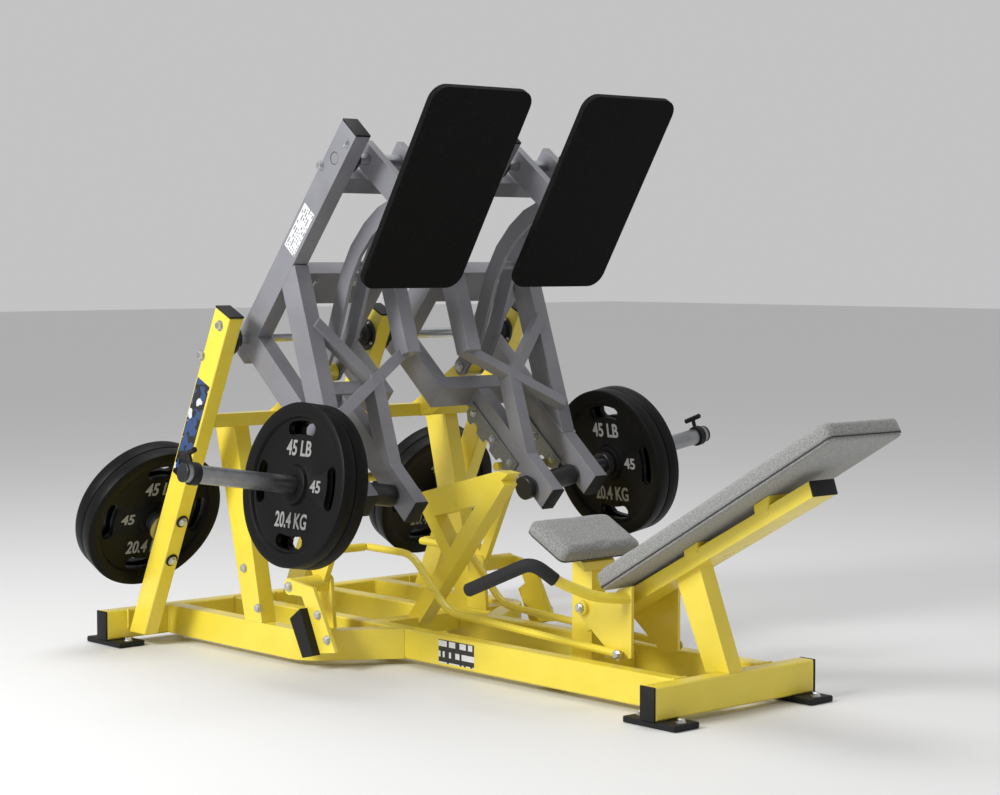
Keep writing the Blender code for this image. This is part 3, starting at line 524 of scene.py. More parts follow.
def bolt_points(places):
    """A mesh of loose points from (place, facing, size) rows."""
    mesh = bpy.data.meshes.new("bolt_points")
    mesh.from_pydata([place for place, facing, size in places], [], [])
    mesh.attributes.new("facing", "FLOAT_VECTOR", "POINT")
    mesh.attributes.new("size", "FLOAT", "POINT")
    for index, (place, facing, size) in enumerate(places):
        mesh.attributes["facing"].data[index].vector = facing
        mesh.attributes["size"].data[index].value = size
    return mesh


print("bolt tree nodes:", len(BOLTS.nodes))

# %% [markdown]
# Where the bolts go: through the posts into the bearings, through the arm beams, the legs and the feet.
# Flange bearings have four each, on a circle.

# %% Bolt places
def circle(x, centre, radius, facing, count=4, size=0.6, turn=0.6):
    rows = []
    for step in range(count):
        angle = turn + 2 * math.pi * step / count
        rows.append((spot(x, (centre[0] + radius * math.cos(angle), centre[1] + radius * math.sin(angle))),
                     facing, size))
    return rows


def frame_bolts():
    rows = []
    post_face = Vector((0, *POST_FRONT))
    storage = POST_FOOT + POST_LINE * STORAGE_AT + POST_FRONT * (DEEP / 2)
    for side_name, side in SIDES.items():
        out = Vector((side, 0, 0))
        face_x = side * (POST_X + TUBE / 2)
        for offset in ((-0.030, 0.038), (0.061, -0.049)):
            rows.append((spot(face_x, ARM_PIVOT + Vector(offset)), out, 1.25))
        for along in (-0.066, 0.066):
            washer = spot(side * POST_X, storage + POST_LINE * along) + post_face * 0.004
            rows.append((washer, post_face, 1.1))
        for offset in ((0.065, -0.676), (-0.003, -0.786)):
            rows.append((spot(side * 0.430, ARM_PIVOT + Vector(offset)), out, 1.1))
        rows += circle(side * (POST_X - TUBE / 2 - 0.0083), ARM_PIVOT, 0.0415, -out, size=0.5)
        rows += circle(side * (TUBE / 2 + 0.0083), ARM_PIVOT, 0.0415, out, size=0.5)
        rows.append((spot(side * 0.108, LEVER_PIVOT), out, 1.0))
        for node in (f"front_foot_{side_name}", f"rear_foot_{side_name}"):
            low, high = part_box(node)
            x = (low[0] + high[0]) / 2
            for y in (low[1] + 0.022, high[1] - 0.022):
                rows.append((Vector((x, y, high[2])), Vector((0, 0, 1)), 1.1))
    return rows


def arm_bolts(side):
    rows = []
    out = Vector((side, 0, 0))
    for offset in ((-0.052, 0.039), (0.061, -0.018)):
        faces = (ARM_OUTER, out), (ARM_OUTER - TUBE, -out), (ARM_INNER, -out), (ARM_INNER + TUBE, out)
        for x, way in faces:
            if offset[0] < 0 or x in (ARM_OUTER, ARM_INNER):
                rows.append((spot(side * x, TOP_PIVOT + Vector(offset)), way, 1.1))
    for along in (0.178, 0.231):
        for x in (0.205, 0.345):
            place = ARM_PIVOT + ARM_LINE * along + ARM_FRONT * (TUBE / 2)
            rows.append((spot(side * x, place), Vector((0, *ARM_FRONT)), 1.2))
    for along in (0.305, 0.417, 0.518):
        rows.append((spot(side * 0.2336, ARM_PIVOT + LEG_LINE * along + LEG_UNDER * 0.052), -out, 0.95))
    for along in (0.417, 0.518):
        rows.append((spot(side * 0.4061, ARM_PIVOT + LEG_LINE * along + LEG_UNDER * 0.052), -out, 0.95))
    for x, wall in ((ARM_OUTER - TUBE - 0.0085, -1), (ARM_INNER + TUBE + 0.0085, 1)):
        rows += circle(side * x, TOP_PIVOT, 0.0335, out * wall, size=0.42)
    return rows


def moving_bolts():
    """Bolts on the lock arms, rods and levers, by body."""
    rows = {}
    for side_name, side in SIDES.items():
        out = Vector((side, 0, 0))
        strap = [ARM_PIVOT + Vector(offset) for offset in ((-0.283, -0.774), (-0.325, -0.840))]
        rows[f"lock_{side_name}"] = [(spot(side * STRAP_FACE, place), out, 1.1) for place in strap]
        rows[f"lock_{side_name}"].append((spot(side * 0.426, LOCK_PIVOT), out, 1.2))
        rows[f"rod_{side_name}"] = [(spot(side * 0.116, ROD_PIVOT), out, 1.1)]
        rows[f"link_{side_name}"] = [
            (spot(side * 0.3156, LINK_PIVOT), out, 1.2), (spot(side * 0.2344, LINK_PIVOT), -out, 1.2)
        ]
    return rows


grown("frame_bolts", bolt_points(frame_bolts()), BOLTS, ZINC, "frame", "bright_steel")
for side_name, side in SIDES.items():
    points = bolt_points(arm_bolts(side))
    grown(f"arm_bolts_{side_name}", points, BOLTS, ZINC, f"arm_{side_name}", "bright_steel")
for body, rows in moving_bolts().items():
    grown(f"{body}_bolts", bolt_points(rows), BOLTS, ZINC, body, "bright_steel")
print("bolts on the frame:", len(frame_bolts()), "and on each arm:", len(arm_bolts(1)))

# %% [markdown]
# Weight plates are cast iron discs: a thick rim, a thick hub, a dished web and four slots to lift them by.
# The profile is spun round the bore, the slots are cut with curved prisms, and one mesh serves all eight.

# %% Weight plate mesh
PLATE_R, PLATE_HALF, BORE_R, WEB_HALF = 0.2248, 0.021, 0.0258, 0.0095


def plate_profile():
    face = [(PLATE_HALF - 0.001, BORE_R), (PLATE_HALF, BORE_R + 0.0015), (PLATE_HALF, 0.050)]
    face += [(PLATE_HALF - 0.0012, 0.0522), (WEB_HALF + 0.001, 0.0565), (WEB_HALF, 0.0585)]
    face += [(WEB_HALF, 0.1800), (WEB_HALF + 0.001, 0.1822), (PLATE_HALF - 0.0014, 0.1862)]
    face += [(PLATE_HALF, 0.1885), (PLATE_HALF, PLATE_R - 0.0045), (PLATE_HALF - 0.0015, PLATE_R - 0.0015)]
    face += [(PLATE_HALF - 0.0045, PLATE_R)]
    return face + [(-x, r) for x, r in reversed(face)]


def spun_plate(made, steps=112):
    rings = []
    for step in range(steps):
        angle = 2 * math.pi * step / steps
        points = [(x, r * math.cos(angle), r * math.sin(angle)) for x, r in plate_profile()]
        rings.append([made.verts.new(point) for point in points])
    count = len(rings[0])
    for ring, after in zip(rings, rings[1:] + rings[:1]):
        for index in range(count):
            onward = (index + 1) % count
            made.faces.new((ring[index], ring[onward], after[onward], after[index]))
    bmesh.ops.recalc_face_normals(made, faces=made.faces)


def slot_cutter(made):
    """Four curved slots with round ends, through the web."""
    middle, half, sweep = 0.157, 0.0185, math.radians(16)
    for turn in range(4):
        centre = turn * math.pi / 2
        outline = []
        for way in (1, -1):
            for step in range(9):
                outline.append((centre + way * sweep * (step / 4 - 1), middle + way * half))
            for past, share in ((0.07, 0.7), (0.10, 0.0), (0.07, -0.7)):
                outline.append((centre + way * (sweep + past), middle + way * half * share))
        prism(made, [(-0.05, r * math.cos(a), r * math.sin(a)) for a, r in outline], (0.1, 0, 0))
    bmesh.ops.recalc_face_normals(made, faces=made.faces)


def slotted_plate():
    host = bpy.data.objects.new("plate", mesh_from("plate", spun_plate))
    cutter = bpy.data.objects.new("slots", mesh_from("slots", slot_cutter))
    bpy.context.collection.objects.link(cutter)
    cut = host.modifiers.new("slots", "BOOLEAN")
    cut.operation, cut.object, cut.solver = "DIFFERENCE", cutter, "EXACT"
    rim = host.modifiers.new("slot_edges", "BEVEL")
    rim.width, rim.segments, rim.limit_method, rim.angle_limit = 0.0012, 2, "ANGLE", math.radians(60)
    mesh = baked(host)
    bpy.data.objects.remove(cutter, do_unlink=True)
    mesh.shade_smooth()
    mesh.set_sharp_from_angle(angle=math.radians(35))
    return mesh


PLATE = slotted_plate()
print("plate mesh faces:", len(PLATE.polygons))

# %% [markdown]
# The number and unit stand 1.5 mm proud of the web, painted silver. They come from Blender's own font, made a
# mesh with a little thickness.

# %% Raised numbers
def lettering(made, text, height, place, squeeze=1.0):
    """Raised text in the plate's own plane, read from +X, with its middle at place (across, up)."""
    curve = bpy.data.curves.new("text", "FONT")
    curve.body, curve.size, curve.extrude = text, height, 0.00075
    curve.align_x, curve.align_y, curve.offset = "CENTER", "CENTER", height * 0.022
    curve.resolution_u = 4
    mesh = baked(bpy.data.objects.new("text", curve))
    part = bmesh.new()
    part.from_mesh(mesh)
    bmesh.ops.remove_doubles(part, verts=part.verts, dist=0.00001)
    turn = Matrix(((0, 0, 1, WEB_HALF + 0.0007), (squeeze, 0, 0, place[0]), (0, 1, 0, place[1]),
                   (0, 0, 0, 1)))
    bmesh.ops.transform(part, matrix=turn, verts=part.verts)
    part.to_mesh(mesh)
    part.free()
    made.from_mesh(mesh)


def plate_marks(made):
    lettering(made, "45", 0.046, (0.090, 0.0))
    lettering(made, "45", 0.046, (-0.090, 0.0))
    lettering(made, "45 LB", 0.058, (0.0, 0.098), 0.80)
    lettering(made, "20.4 KG", 0.058, (0.0, -0.098), 0.72)


MARKS = mesh_from("plate_marks", plate_marks)


def placed(mesh, centre, outward, name):
    """A copy of a plate mesh with its +X turned to outward and its up kept as high as it can be."""
    up = Vector((0, 0, 1))
    across = up.cross(outward).normalized()
    rise = outward.cross(across)
    turn = Matrix((outward, across, rise)).transposed().to_4x4()
    copy = mesh.copy()
    copy.name = name
    copy.transform(Matrix.Translation(centre) @ turn)
    return copy


for side_name, side in SIDES.items():
    body = f"arm_{side_name}"
    outward = Vector((side * math.cos(HORN_TILT), 0, math.sin(HORN_TILT)))
    stacks = [("weight_plate_inner", body, outward, -1), ("weight_plate_outer", body, outward, 1)]
    rearward = Vector((0, math.cos(POST_LEAN), math.sin(POST_LEAN)))
    stacks += [("stored_plate_front", "frame", rearward, -1), ("stored_plate_rear", "frame", rearward, 1)]
    for stem, rides_on, axis, shown in stacks:
        node = f"{stem}_{side_name}"
        corners = [vertex.co for vertex in NODES[node].data.vertices]
        centre = sum(corners, Vector()) / len(corners)
        disc = piece(f"{node}_casting", placed(PLATE, centre, axis, node), IRON, rides_on)
        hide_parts(node)
        marks = placed(MARKS, centre, axis * shown, node + "_marks")
        piece(f"{node}_numbers", marks, LETTERING, rides_on)
print("plates dressed: 8")

# %% [markdown]
# The horns pass through the arms in black steel sleeves, and a black collar stops the plates. A black cap
# closes each free end, of rubber on the storage horns.

# %% Horn sleeves and caps
def turned_mesh(made, profile, centre, axis, steps=48):
    """Spins (distance, radius) points round an axis and closes both ends."""
    turn = axis.to_track_quat("Z", "Y").to_matrix().to_4x4()
    place = Matrix.Translation(centre) @ turn
    rings = []
    for distance, radius in profile:
        ring = []
        for step in range(steps):
            angle = 2 * math.pi * step / steps
            point = Vector((radius * math.cos(angle), radius * math.sin(angle), distance))
            ring.append(made.verts.new(place @ point))
        rings.append(ring)
    skin(made, rings)


def horn_at(side, distance):
    rise = Vector((0, 0, distance * math.sin(HORN_TILT)))
    return spot(side * (HORN_START + distance * math.cos(HORN_TILT)), from_front(1.038, 0.501)) + rise


def sleeve_profile(start, end, radius):
    return [(start, radius - 0.002), (start + 0.0015, radius), (end - 0.0015, radius), (end, radius - 0.002)]


HORN_LENGTH = (HORN_END - HORN_START) / math.cos(HORN_TILT)
COLLAR = (COLLAR_AT - HORN_START) / math.cos(HORN_TILT)


def horn_trim(made, side):
    axis = horn_at(side, 1) - horn_at(side, 0)
    bush, sleeve = (-0.0305, -0.0092, 0.0352), (0.0512, 0.1668, 0.0308)
    collar = (COLLAR - 0.0006, COLLAR + 0.0216, 0.0368)
    end_cap = (HORN_LENGTH - 0.006, HORN_LENGTH + 0.003, 0.0256)
    for start_at, end_at, radius in (bush, sleeve, collar, end_cap):
        turned_mesh(made, sleeve_profile(start_at, end_at, radius), horn_at(side, 0), axis)
    for turn in range(3):
        distance = COLLAR + 0.004 + turn * 0.006
        turned_mesh(made, sleeve_profile(distance, distance + 0.0035, 0.0376), horn_at(side, 0), axis)


def storage_trim(made, side):
    axis = Vector((0, math.cos(POST_LEAN), math.sin(POST_LEAN)))
    base = spot(side * POST_X, POST_FOOT + POST_LINE * STORAGE_AT)
    turned_mesh(made, sleeve_profile(0.2555, 0.2625, 0.0256), base, axis)
    for along in (-0.066, 0.066):
        front = spot(side * POST_X, POST_FOOT + POST_LINE * (STORAGE_AT + along) + POST_FRONT * (DEEP / 2))
        turned_mesh(made, sleeve_profile(0.0, 0.0045, 0.0195), front, Vector((0, *POST_FRONT)), 32)


for side_name, side in SIDES.items():
    mesh = mesh_from("horn_trim", lambda made: horn_trim(made, side), 35)
    piece(f"horn_trim_{side_name}", mesh, SATIN_BLACK, f"arm_{side_name}")
    mesh = mesh_from("storage_trim", lambda made: storage_trim(made, side), 35)
    piece(f"storage_trim_{side_name}", mesh, RUBBER, "frame")
print("horn length", round(HORN_LENGTH, 3))

# %% [markdown]
# The end of each lock arm carries a thick rubber block, so that nothing it meets marks the paint.

# %% Rubber blocks
def rubber_block(made, side):
    outline = [(-0.233, -0.760), (-0.186, -0.793), (-0.244, -0.897), (-0.292, -0.885)]
    middle = sum((Vector(point) for point in outline), Vector((0, 0))) / 4
    proud = [middle + (Vector(point) - middle) * 1.012 for point in outline]
    near = STRAP_FACE + 0.0004
    prism(made, [spot(side * near, ARM_PIVOT + point) for point in proud], (side * 0.0264, 0, 0))
    bmesh.ops.recalc_face_normals(made, faces=made.faces)


piece_each_side("rubber_block", rubber_block, RUBBER, "lock_{}")
print("rubber blocks: 2")

# %% [markdown]
# Galvanised stop plates are bolted under the lower beams. Three scallops in the lower edge take the lock bar.

# %% Stop plates
def scalloped():
    outline = [(0.2775, 0.0295), (0.5455, 0.0295), (0.5455, 0.0704)]
    for centre in (0.4856, 0.409, 0.333):
        for step in range(17):
            angle = math.pi * step / 16
            outline.append((centre + 0.0178 * math.cos(angle), 0.0899 - 0.0178 * math.sin(angle)))
    outline += [(0.2995, 0.0899), (0.2775, 0.0704)]
    return [ARM_PIVOT + LEG_LINE * along + LEG_UNDER * under for along, under in outline]


def stop_plates(made, side):
    for low, high in ((0.2336, 0.2392), (0.4061, 0.4122)):
        prism(made, [spot(side * low, point) for point in scalloped()], (side * (high - low), 0, 0))
    bmesh.ops.recalc_face_normals(made, faces=made.faces)


piece_each_side("stop_plates", stop_plates, GALVANISED, "arm_{}", 30)
print("stop plates: 2 on each arm")

# %% [markdown]
# Foam grips slide over the ends of the hand levers. They follow the bend of the tube, so they are swept along
# the same route, a little thicker than the tube.

# %% Grips
def rounded_route(points, radius, steps=8):
    """The corners of a route, each swapped for a short arc."""
    route = [points[0]]
    for before, corner, after in zip(points, points[1:], points[2:]):
        reach = min(radius, (before - corner).length * 0.45, (after - corner).length * 0.45)
        first = corner + (before - corner).normalized() * reach
        last = corner + (after - corner).normalized() * reach
        for step in range(steps + 1):
            t = step / steps
            route.append(first * (1 - t) ** 2 + corner * 2 * t * (1 - t) + last * t ** 2)
    route.append(points[-1])
    return route


def swept(name, route, radii, steps=28):
    """A closed tube along a route, with its own radius at each point."""
    def fill(made):
        rings, side_way = [], Vector((0, 0, 1))
        for index, point in enumerate(route):
            before, after = route[max(index - 1, 0)], route[min(index + 1, len(route) - 1)]
            along = (after - before).normalized()
            side_way = (side_way - along * side_way.dot(along)).normalized()
            across = along.cross(side_way)
            ring = []
            for step in range(steps):
                angle = 2 * math.pi * step / steps
                outward = side_way * math.cos(angle) + across * math.sin(angle)
                ring.append(made.verts.new(point + outward * radii[index]))
            rings.append(ring)
        skin(made, rings)
        bmesh.ops.recalc_face_normals(made, faces=made.faces)
    return mesh_from(name, fill, 50)


GRIP_R, GRIP_BEND = 0.0182, 0.045
for side_name, side in SIDES.items():
    corners = [(0.290, 0.362, 0.338), (0.345, 0.400, 0.390), (0.360, 0.634, 0.2937)]
    route = rounded_route([spot(side * x, from_front(y, z)) for x, y, z in corners], GRIP_BEND)
    first, last = route[0], route[-1]
    route[0] = first + (route[1] - first) * 0.12
    inner = [route[0] + (route[1] - route[0]).normalized() * step for step in (0.0, 0.0015, 0.004)]
    outer = [last - (last - route[-2]).normalized() * step for step in (0.004, 0.0015, 0.0)]
    path = inner + route[1:-1] + outer
    radii = [GRIP_R - 0.003, GRIP_R - 0.0008, GRIP_R] + [GRIP_R] * (len(route) - 2)
    radii += [GRIP_R, GRIP_R - 0.0012, GRIP_R - 0.005]
    piece(f"grip_{side_name}", swept("grip", path, radii), FOAM, f"lever_{side_name}")
print("grips swept")

# %% [markdown]
# Labels: a pale instruction plate on each arm, a patterned strip down each outer post and a small plate on
# each base rail. They are thin sheets with plain patterns and no words.

# %% Label finishes
def banded(name, ground, ink, across_mm, down_mm, axis, cut=0.55):
    """A printed sheet: rows of short blocks, like set text seen from far away."""
    material, tree, shader, coords = start(name, Roughness=0.45, IOR=1.5, Coat_Weight=0.3)
    turned = add(tree, "ShaderNodeMapping", Vector=coords, Rotation=(axis, 0.0, 0.0))
    parts = add(tree, "ShaderNodeSeparateXYZ", Vector=turned.outputs[0])
    rows = add(tree, "ShaderNodeMath", {"operation": "MULTIPLY"}, i0=parts.outputs["Z"], i1=per_mm(down_mm))
    row = add(tree, "ShaderNodeMath", {"operation": "FRACT"}, i0=rows.outputs[0]).outputs[0]
    line = add(tree, "ShaderNodeMath", {"operation": "GREATER_THAN"}, i0=row, i1=0.45).outputs[0]
    number = add(tree, "ShaderNodeMath", {"operation": "FLOOR"}, i0=rows.outputs[0]).outputs[0]
    step = add(tree, "ShaderNodeMath", {"operation": "MULTIPLY"}, i0=parts.outputs["Y"], i1=per_mm(across_mm))
    cell = add(tree, "ShaderNodeMath", {"operation": "FLOOR"}, i0=step.outputs[0]).outputs[0]
    where = add(tree, "ShaderNodeCombineXYZ", X=cell, Y=number).outputs[0]
    chance = add(tree, "ShaderNodeTexWhiteNoise", {"noise_dimensions": "3D"}, Vector=where).outputs["Value"]
    inked = add(tree, "ShaderNodeMath", {"operation": "GREATER_THAN"}, i0=chance, i1=cut).outputs[0]
    mask = add(tree, "ShaderNodeMath", {"operation": "MULTIPLY"}, i0=inked, i1=line).outputs[0]
    mix = add(tree, "ShaderNodeMix", {"data_type": "RGBA"}, i0=mask, i6=linear(ground), i7=linear(ink))
    tree.links.new(mix.outputs[2], shader.inputs["Base Color"])
    return material


CARD = banded("printed_card_white", "D8D9DA", "7C7E80", 5.0, 9.0, math.atan2(ARM_LINE.y, -ARM_LINE.x))
RAIL_CARD = banded("printed_card_black", "111111", "D9D9D9", 9.0, 30.0, 0.0, 0.35)


def strip_finish():
    """A patterned vinyl strip: blue and pale shapes on black."""
    material, tree, shader, coords = start("printed_vinyl_strip", Roughness=0.4, IOR=1.5, Coat_Weight=0.4)
    shapes = add(tree, "ShaderNodeTexVoronoi", {"distance": "MANHATTAN"}, Vector=coords, Scale=per_mm(22))
    tone = add(tree, "ShaderNodeSeparateColor", Color=shapes.outputs["Color"]).outputs[0]
    node = add(tree, "ShaderNodeValToRGB", i0=tone)
    node.color_ramp.interpolation = "CONSTANT"
    stops = node.color_ramp.elements
    stops.remove(stops[-1])
    stops[0].color = linear("0D0E12")
    for position, colour in ((0.45, "24406F"), (0.70, "101216"), (0.86, "C9CED6")):
        stops.new(position).color = linear(colour)
    tree.links.new(node.outputs["Color"], shader.inputs["Base Color"])
    return material


STRIP = strip_finish()
LABEL = 0.0008


def label(name, x, centre, line, length, width, material, body, side):
    """A thin sheet on a side face: length runs along the side-view line."""
    def fill(made):
        middle = spot(x + side * LABEL / 2, centre)
        rounded_box(made, middle, side_axes(line), (LABEL, length, width), 0.00025, 1)
    piece(name, mesh_from("label", fill), material, body)


rail_z = sum(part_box("main_rail_left")[corner][2] for corner in (0, 1)) / 2
for side_name, side in SIDES.items():
    card = ARM_PIVOT + ARM_LINE * 0.398
    label(f"arm_card_{side_name}", side * ARM_OUTER, card, ARM_LINE, 0.150, 0.056, CARD, f"arm_{side_name}",
          side)
    strip = POST_FOOT + POST_LINE * 0.712
    label(f"post_strip_{side_name}", side * (POST_X + TUBE / 2), strip, POST_LINE, 0.312, 0.064, STRIP,
          "frame", side)
    rail = Vector((from_front(0.881, 0).x, rail_z))
    label(f"rail_card_{side_name}", side * 0.187, rail, Vector((1, 0)), 0.150, 0.066, RAIL_CARD, "frame",
          side)
print("labels: 6")

# %% [markdown]
# The pads are foam on a board under stretched vinyl. Each starts as a rounded slab a little smaller than its
# space, is blown up as cloth so that it crowns, and then gets the groove of its seam, a welt and stitches.

# %% Pad slab
def pad_frame(node):
    """A pad's own axes, across, along and up out of its face, and its limits on each of them."""
    mesh = NODES[node].data
    longest = max(mesh.polygons, key=lambda face: face.area * abs(face.normal.z))
    up = longest.normal.copy() if longest.normal.z > 0 else -longest.normal
    across = Vector((1, 0, 0))
    along = up.cross(across).normalized()
    axes = (across, along, up)
    limits = [[f(vertex.co.dot(axis) for vertex in mesh.vertices) for f in (min, max)] for axis in axes]
    return axes, limits


def round_cornered(size, corner):
    """The outline of a pad in plan."""
    outline = []
    half_x, half_y = size[0] / 2 - corner, size[1] / 2 - corner
    for a, b, turn in ((1, 1, 0), (-1, 1, 90), (-1, -1, 180), (1, -1, 270)):
        for step in range(9):
            angle = math.radians(turn + 90 * step / 8)
            outline.append((a * half_x + corner * math.cos(angle), b * half_y + corner * math.sin(angle)))
    return outline


def slab(made, size, corner, edge):
    """A flat block with round corners in plan and softened edges, centred on the origin."""
    prism(made, [(x, y, -size[2] / 2) for x, y in round_cornered(size, corner)], (0, 0, size[2]))
    rims = [line for line in made.edges if abs(line.verts[0].co.z - line.verts[1].co.z) < 1e-6]
    bmesh.ops.bevel(made, geom=rims, offset=edge, segments=3, affect="EDGES", profile=0.5)
    bmesh.ops.recalc_face_normals(made, faces=made.faces)


def remeshed(mesh, voxel):
    host = bpy.data.objects.new("pad", mesh)
    net = host.modifiers.new("net", "REMESH")
    net.mode, net.voxel_size = "VOXEL", voxel
    smooth = host.modifiers.new("smooth", "SMOOTH")
    smooth.factor, smooth.iterations = 0.5, 4
    return baked(host)


def inflated(mesh, cap, pressure=4.0):
    """Blows the cover up as cloth, with gravity off, and lets no point move further than cap. The foam
    fills its own shape, so no point falls inside it, and the board keeps the lower half flat."""
    rest = [vertex.co.copy() for vertex in mesh.vertices]
    host = bpy.data.objects.new("pad", mesh)
    cloth = host.modifiers.new("cloth", "CLOTH")
    settings = cloth.settings
    settings.quality, settings.mass = 4, 0.3
    settings.tension_stiffness = settings.compression_stiffness = 25
    settings.bending_stiffness = 1.0
    settings.use_pressure, settings.uniform_pressure_force = True, pressure
    settings.effector_weights.gravity = 0.0
    cloth.collision_settings.use_collision = False
    blown = baked(host, frames=20)
    bpy.context.scene.frame_set(1)
    for vertex, place in zip(blown.vertices, rest):
        move = vertex.co - place
        swollen = place + move * min(1.0, cap / max(move.length, 1e-9))
        vertex.co = [new if abs(new) > abs(old) else old for new, old in zip(swollen, place)]
        if place.z < 0:
            vertex.co.z = place.z
    return blown


print("pad tools ready; simulation", "on")

# %% Pad pieces
def make_pad(node, corner, edge, cap, seam_height):
    """seam_height is measured up from the pad's board, as a share of its thickness."""
    axes, limits = pad_frame(node)
    size = [high - low for low, high in limits]
    print(node, "size", [round(value, 3) for value in size], "up", [round(value, 3) for value in axes[2]])
    centre = sum((axis * ((low + high) / 2) for axis, (low, high) in zip(axes, limits)), Vector())
    small = (size[0] - 0.001, size[1] - 0.001, size[2] - 0.002)
    mesh = remeshed(mesh_from("slab", lambda made: slab(made, small, corner, edge)), 0.0055)
    mesh = inflated(mesh, cap)
    seam = (seam_height - 0.5) * size[2]
    for vertex in mesh.vertices:
        x, y, z = vertex.co
        wall = max(abs(x) / (size[0] / 2), abs(y) / (size[1] / 2))
        if wall > 0.90:
            pull = 0.0034 * math.exp(-((z - seam) / 0.0030) ** 2)
            vertex.co.x -= math.copysign(pull, x) if abs(x) / (size[0] / 2) > 0.90 else 0.0
            vertex.co.y -= math.copysign(pull, y) if abs(y) / (size[1] / 2) > 0.90 else 0.0
        vertex.co.z = max(vertex.co.z, -size[2] / 2)
        vertex.co.x = max(min(vertex.co.x, size[0] / 2 + 0.004), -size[0] / 2 - 0.004)
        vertex.co.y = max(min(vertex.co.y, size[1] / 2 + 0.004), -size[1] / 2 - 0.004)
        vertex.co.z = min(vertex.co.z, size[2] / 2 + 0.007)
    faces = [face.vertices for face in mesh.polygons]
    surface = BVHTree.FromPolygons([vertex.co for vertex in mesh.vertices], faces)
    turn = Matrix([[axis[row] for axis in axes] for row in range(3)]).to_4x4()
    place = Matrix.Translation(centre) @ turn
    mesh.transform(place)
    mesh.shade_smooth()
    cover = piece(f"{node}_cover", mesh, HEATHER, "frame")
    finer = cover.modifiers.new("finer", "SUBSURF")
    finer.levels = finer.render_levels = 1
    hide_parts(node)
    welt_and_stitches(node, size, corner, seam, surface, place)
    return cover


def loop_on(surface, size, corner, level, proud, spacing=0.010):
    """A closed line round the pad's wall at one level, laid on the cover and standing proud of it."""
    points = [Vector((x, y, level)) for x, y in round_cornered(size, corner)]
    laid = []
    for first, last in zip(points, points[1:] + points[:1]):
        parts = max(1, round((last - first).length / spacing))
        for step in range(parts):
            place, normal = surface.find_nearest(first.lerp(last, step / parts))[:2]
            laid.append(place + normal * proud)
    return laid


def welt_and_stitches(node, size, corner, seam, surface, place):
    """The welt in the seam, and a row of stitches above it."""
    route = [place @ point for point in loop_on(surface, size, corner, seam, 0.0004)]
    curve = bpy.data.curves.new("welt", "CURVE")
    curve.dimensions, curve.bevel_depth, curve.bevel_resolution = "3D", 0.0019, 2
    spline = curve.splines.new("POLY")
    spline.points.add(len(route) - 1)
    for point, co in zip(spline.points, route):
        point.co = (*co, 1.0)
    spline.use_cyclic_u = True
    mesh = baked(bpy.data.objects.new("welt", curve))
    mesh.shade_smooth()
    piece(f"{node}_welt", mesh, SEAM, "frame")
    stitch_line = bpy.data.meshes.new("stitch_line")
    points = [place @ point for point in loop_on(surface, size, corner, seam + 0.0065, 0.0002)]
    count = len(points)
    stitch_line.from_pydata(points, [(index, (index + 1) % count) for index in range(count)], [])
    grown(f"{node}_stitches", stitch_line, STITCHES, THREAD, "frame", "grey_vinyl")


def repeat_along(name, sizes, shape, squash=(1.0, 1.0, 1.0)):
    """A tree that sets one shape at each spacing along a line, turned to it. sizes gives its inputs."""
    tree, given = open_tree(name, sizes)
    line = add(tree, "GeometryNodeMeshToCurve", Mesh=given["Geometry"]).outputs[0]
    dots = add(tree, "GeometryNodeCurveToPoints", {"mode": "LENGTH"}, Curve=line, Length=given["Spacing"])
    tangent = dots.outputs["Tangent"]
    turn = add(tree, "FunctionNodeAlignRotationToVector", {"axis": "Z"}, Vector=tangent).outputs[0]
    copies = add(tree, "GeometryNodeInstanceOnPoints", Points=dots.outputs["Points"],
                 Instance=shape(tree, given), Rotation=turn, Scale=squash).outputs[0]
    return close_tree(tree, copies, given["Finish"])


def stitch_shape(tree, sizes):
    return add(tree, "GeometryNodeMeshCylinder", Vertices=6, Radius=sizes["Thread radius"],
               Depth=sizes["Stitch length"]).outputs[0]


STITCH_SIZES = {"Spacing": 0.008, "Stitch length": 0.0052, "Thread radius": 0.0008}
STITCHES = repeat_along("stitches_on_line", STITCH_SIZES, stitch_shape)
back = make_pad("back_pad", 0.020, 0.009, 0.008, 0.17)
seat = make_pad("seat_pad", 0.022, 0.011, 0.008, 0.17)
print("pad points:", len(back.data.vertices), len(seat.data.vertices))

# %% [markdown]
# Steel tube is joined with a welded bead, a row of overlapping ripples. A tree like the stitches' one drops
# a flattened ripple every few millimetres along each short line where two tubes meet.

# %% Weld beads
def ripple_shape(tree, sizes):
    return add(tree, "GeometryNodeMeshIcoSphere", Subdivisions=2, Radius=sizes["Bead radius"]).outputs[0]


WELD_SIZES = {"Spacing": 0.0032, "Bead radius": 0.0036}
WELDS = repeat_along("weld_ripples", WELD_SIZES, ripple_shape, (1.0, 1.0, 0.7))


def line_mesh(lines):
    mesh = bpy.data.meshes.new("weld_lines")
    points, edges = [], []
    for line in lines:
        edges += [(len(points) + step, len(points) + step + 1) for step in range(len(line) - 1)]
        points += line
    mesh.from_pydata(points, edges, [])
    return mesh


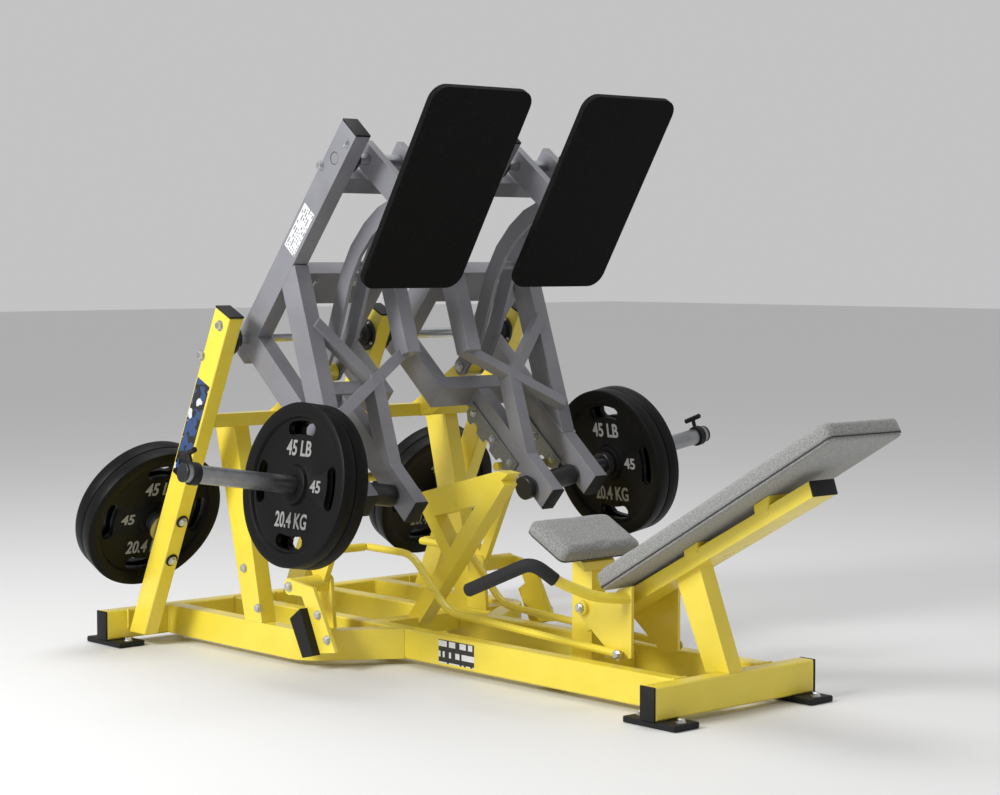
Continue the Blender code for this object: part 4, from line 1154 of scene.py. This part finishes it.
def frame_welds():
    lines = []
    for stem, back_side in (("front_cross_member", True), ("rear_cross_member", False)):
        low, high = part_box(stem)
        y = high[1] if back_side else low[1]
        for side in SIDES.values():
            for x in (side * 0.137, side * 0.187):
                lines.append([Vector((x, y, low[2] + 0.004)), Vector((x, y, high[2] - 0.004))])
            lines.append([Vector((side * 0.139, y, high[2])), Vector((side * 0.185, y, high[2]))])
            if not back_side:
                for x in (side * 0.380, side * 0.430):
                    lines.append([Vector((x, y, low[2] + 0.004)), Vector((x, y, high[2] - 0.004))])
    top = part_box("rear_cross_member")[1][2]
    for x in (-POST_X, 0.0, POST_X):
        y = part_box("rear_cross_member")[0][1]
        for edge in (-TUBE / 2, TUBE / 2):
            lines.append([Vector((x + edge, y, top - 0.055)), Vector((x + edge, y, top))])
    return lines


def arm_welds(side):
    """Beads where the cross tubes meet the upper beams, and where the struts meet the lower beams."""
    lines = []
    for low, high in ((0.148, 0.261), (0.545, 0.595)):
        for x in (ARM_INNER + TUBE, ARM_OUTER - TUBE):
            for front in (TUBE / 2, -TUBE / 2):
                lines.append([spot(side * x, ARM_PIVOT + ARM_LINE * along + ARM_FRONT * front)
                              for along in (low, high)])
    foot = from_front(1.289, 1.140)
    drop = Vector((-0.320, -0.947)).normalized()
    for x in (ARM_OUTER, ARM_OUTER - TUBE):
        meets = []
        for across in (-DEEP / 2, DEEP / 2):
            begin = foot + Vector((drop.y, -drop.x)) * across
            reach = (-(DEEP / 2) - (begin - ARM_PIVOT).dot(LEG_UNDER)) / drop.dot(LEG_UNDER)
            meets.append(spot(side * x, begin + drop * reach))
        lines.append(meets)
    return lines


grown("frame_welds", line_mesh(frame_welds()), WELDS, YELLOW, "frame", "yellow_paint")
for side_name, side in SIDES.items():
    grown(f"arm_welds_{side_name}", line_mesh(arm_welds(side)), WELDS, GREY, f"arm_{side_name}", "grey_paint")
print("weld lines:", len(frame_welds()) + 2 * len(arm_welds(1)))

# %% [markdown]
# A plain pale floor, soft light from large lamps, and a camera at chest height off the front left corner.

# %% Floor, lights and camera
def floor():
    material, _, shader, _ = start("studio_floor", Roughness=0.6)
    shader.inputs["Base Color"].default_value = linear("DCDCDC")
    mesh = mesh_from("floor", lambda made: bmesh.ops.create_grid(made, x_segments=1, y_segments=1, size=40))
    mesh.materials.append(material)
    obj = bpy.data.objects.new("floor", mesh)
    bpy.context.collection.objects.link(obj)
    obj.location.z = -0.001


def lamp(name, place, target, size, power):
    light = bpy.data.lights.new(name, "AREA")
    light.shape, light.size, light.energy = "DISK", size, power
    obj = bpy.data.objects.new(name, light)
    obj.location = place
    obj.rotation_euler = (Vector(target) - Vector(place)).to_track_quat("-Z", "Y").to_euler()
    bpy.context.collection.objects.link(obj)


floor()
world = bpy.data.worlds.new("studio")
world.use_nodes = True
world.node_tree.nodes["Background"].inputs["Color"].default_value = linear("FFFFFF")
world.node_tree.nodes["Background"].inputs["Strength"].default_value = 0.55
bpy.context.scene.world = world
lamp("key", (-5.4, 0.7, 3.3), (0, 0, 0.7), 2.0, 300)
lamp("top", (0.3, 0.8, 5.5), (0, 0, 0.3), 3.0, 110)
lamp("fill", (1.5, -5.5, 2.0), (0, 0, 0.6), 3.0, 8)
bpy.context.scene.view_settings.view_transform = "Standard"

CAMERA_TURN, CAMERA_DIP = math.radians(41.94), math.radians(3.47)
looking = Vector((math.sin(CAMERA_TURN) * math.cos(CAMERA_DIP), math.cos(CAMERA_TURN) * math.cos(CAMERA_DIP),
                  -math.sin(CAMERA_DIP)))
camera = bpy.data.cameras.new("camera")
camera.sensor_width, camera.lens = 36.0, 82.09
viewer = bpy.data.objects.new("camera", camera)
viewer.location = (-4.302, -4.7025, 1.156)
viewer.rotation_euler = looking.to_track_quat("-Z", "Y").to_euler()
bpy.context.collection.objects.link(viewer)
bpy.context.scene.camera = viewer
print("camera", [round(value, 3) for value in viewer.location])
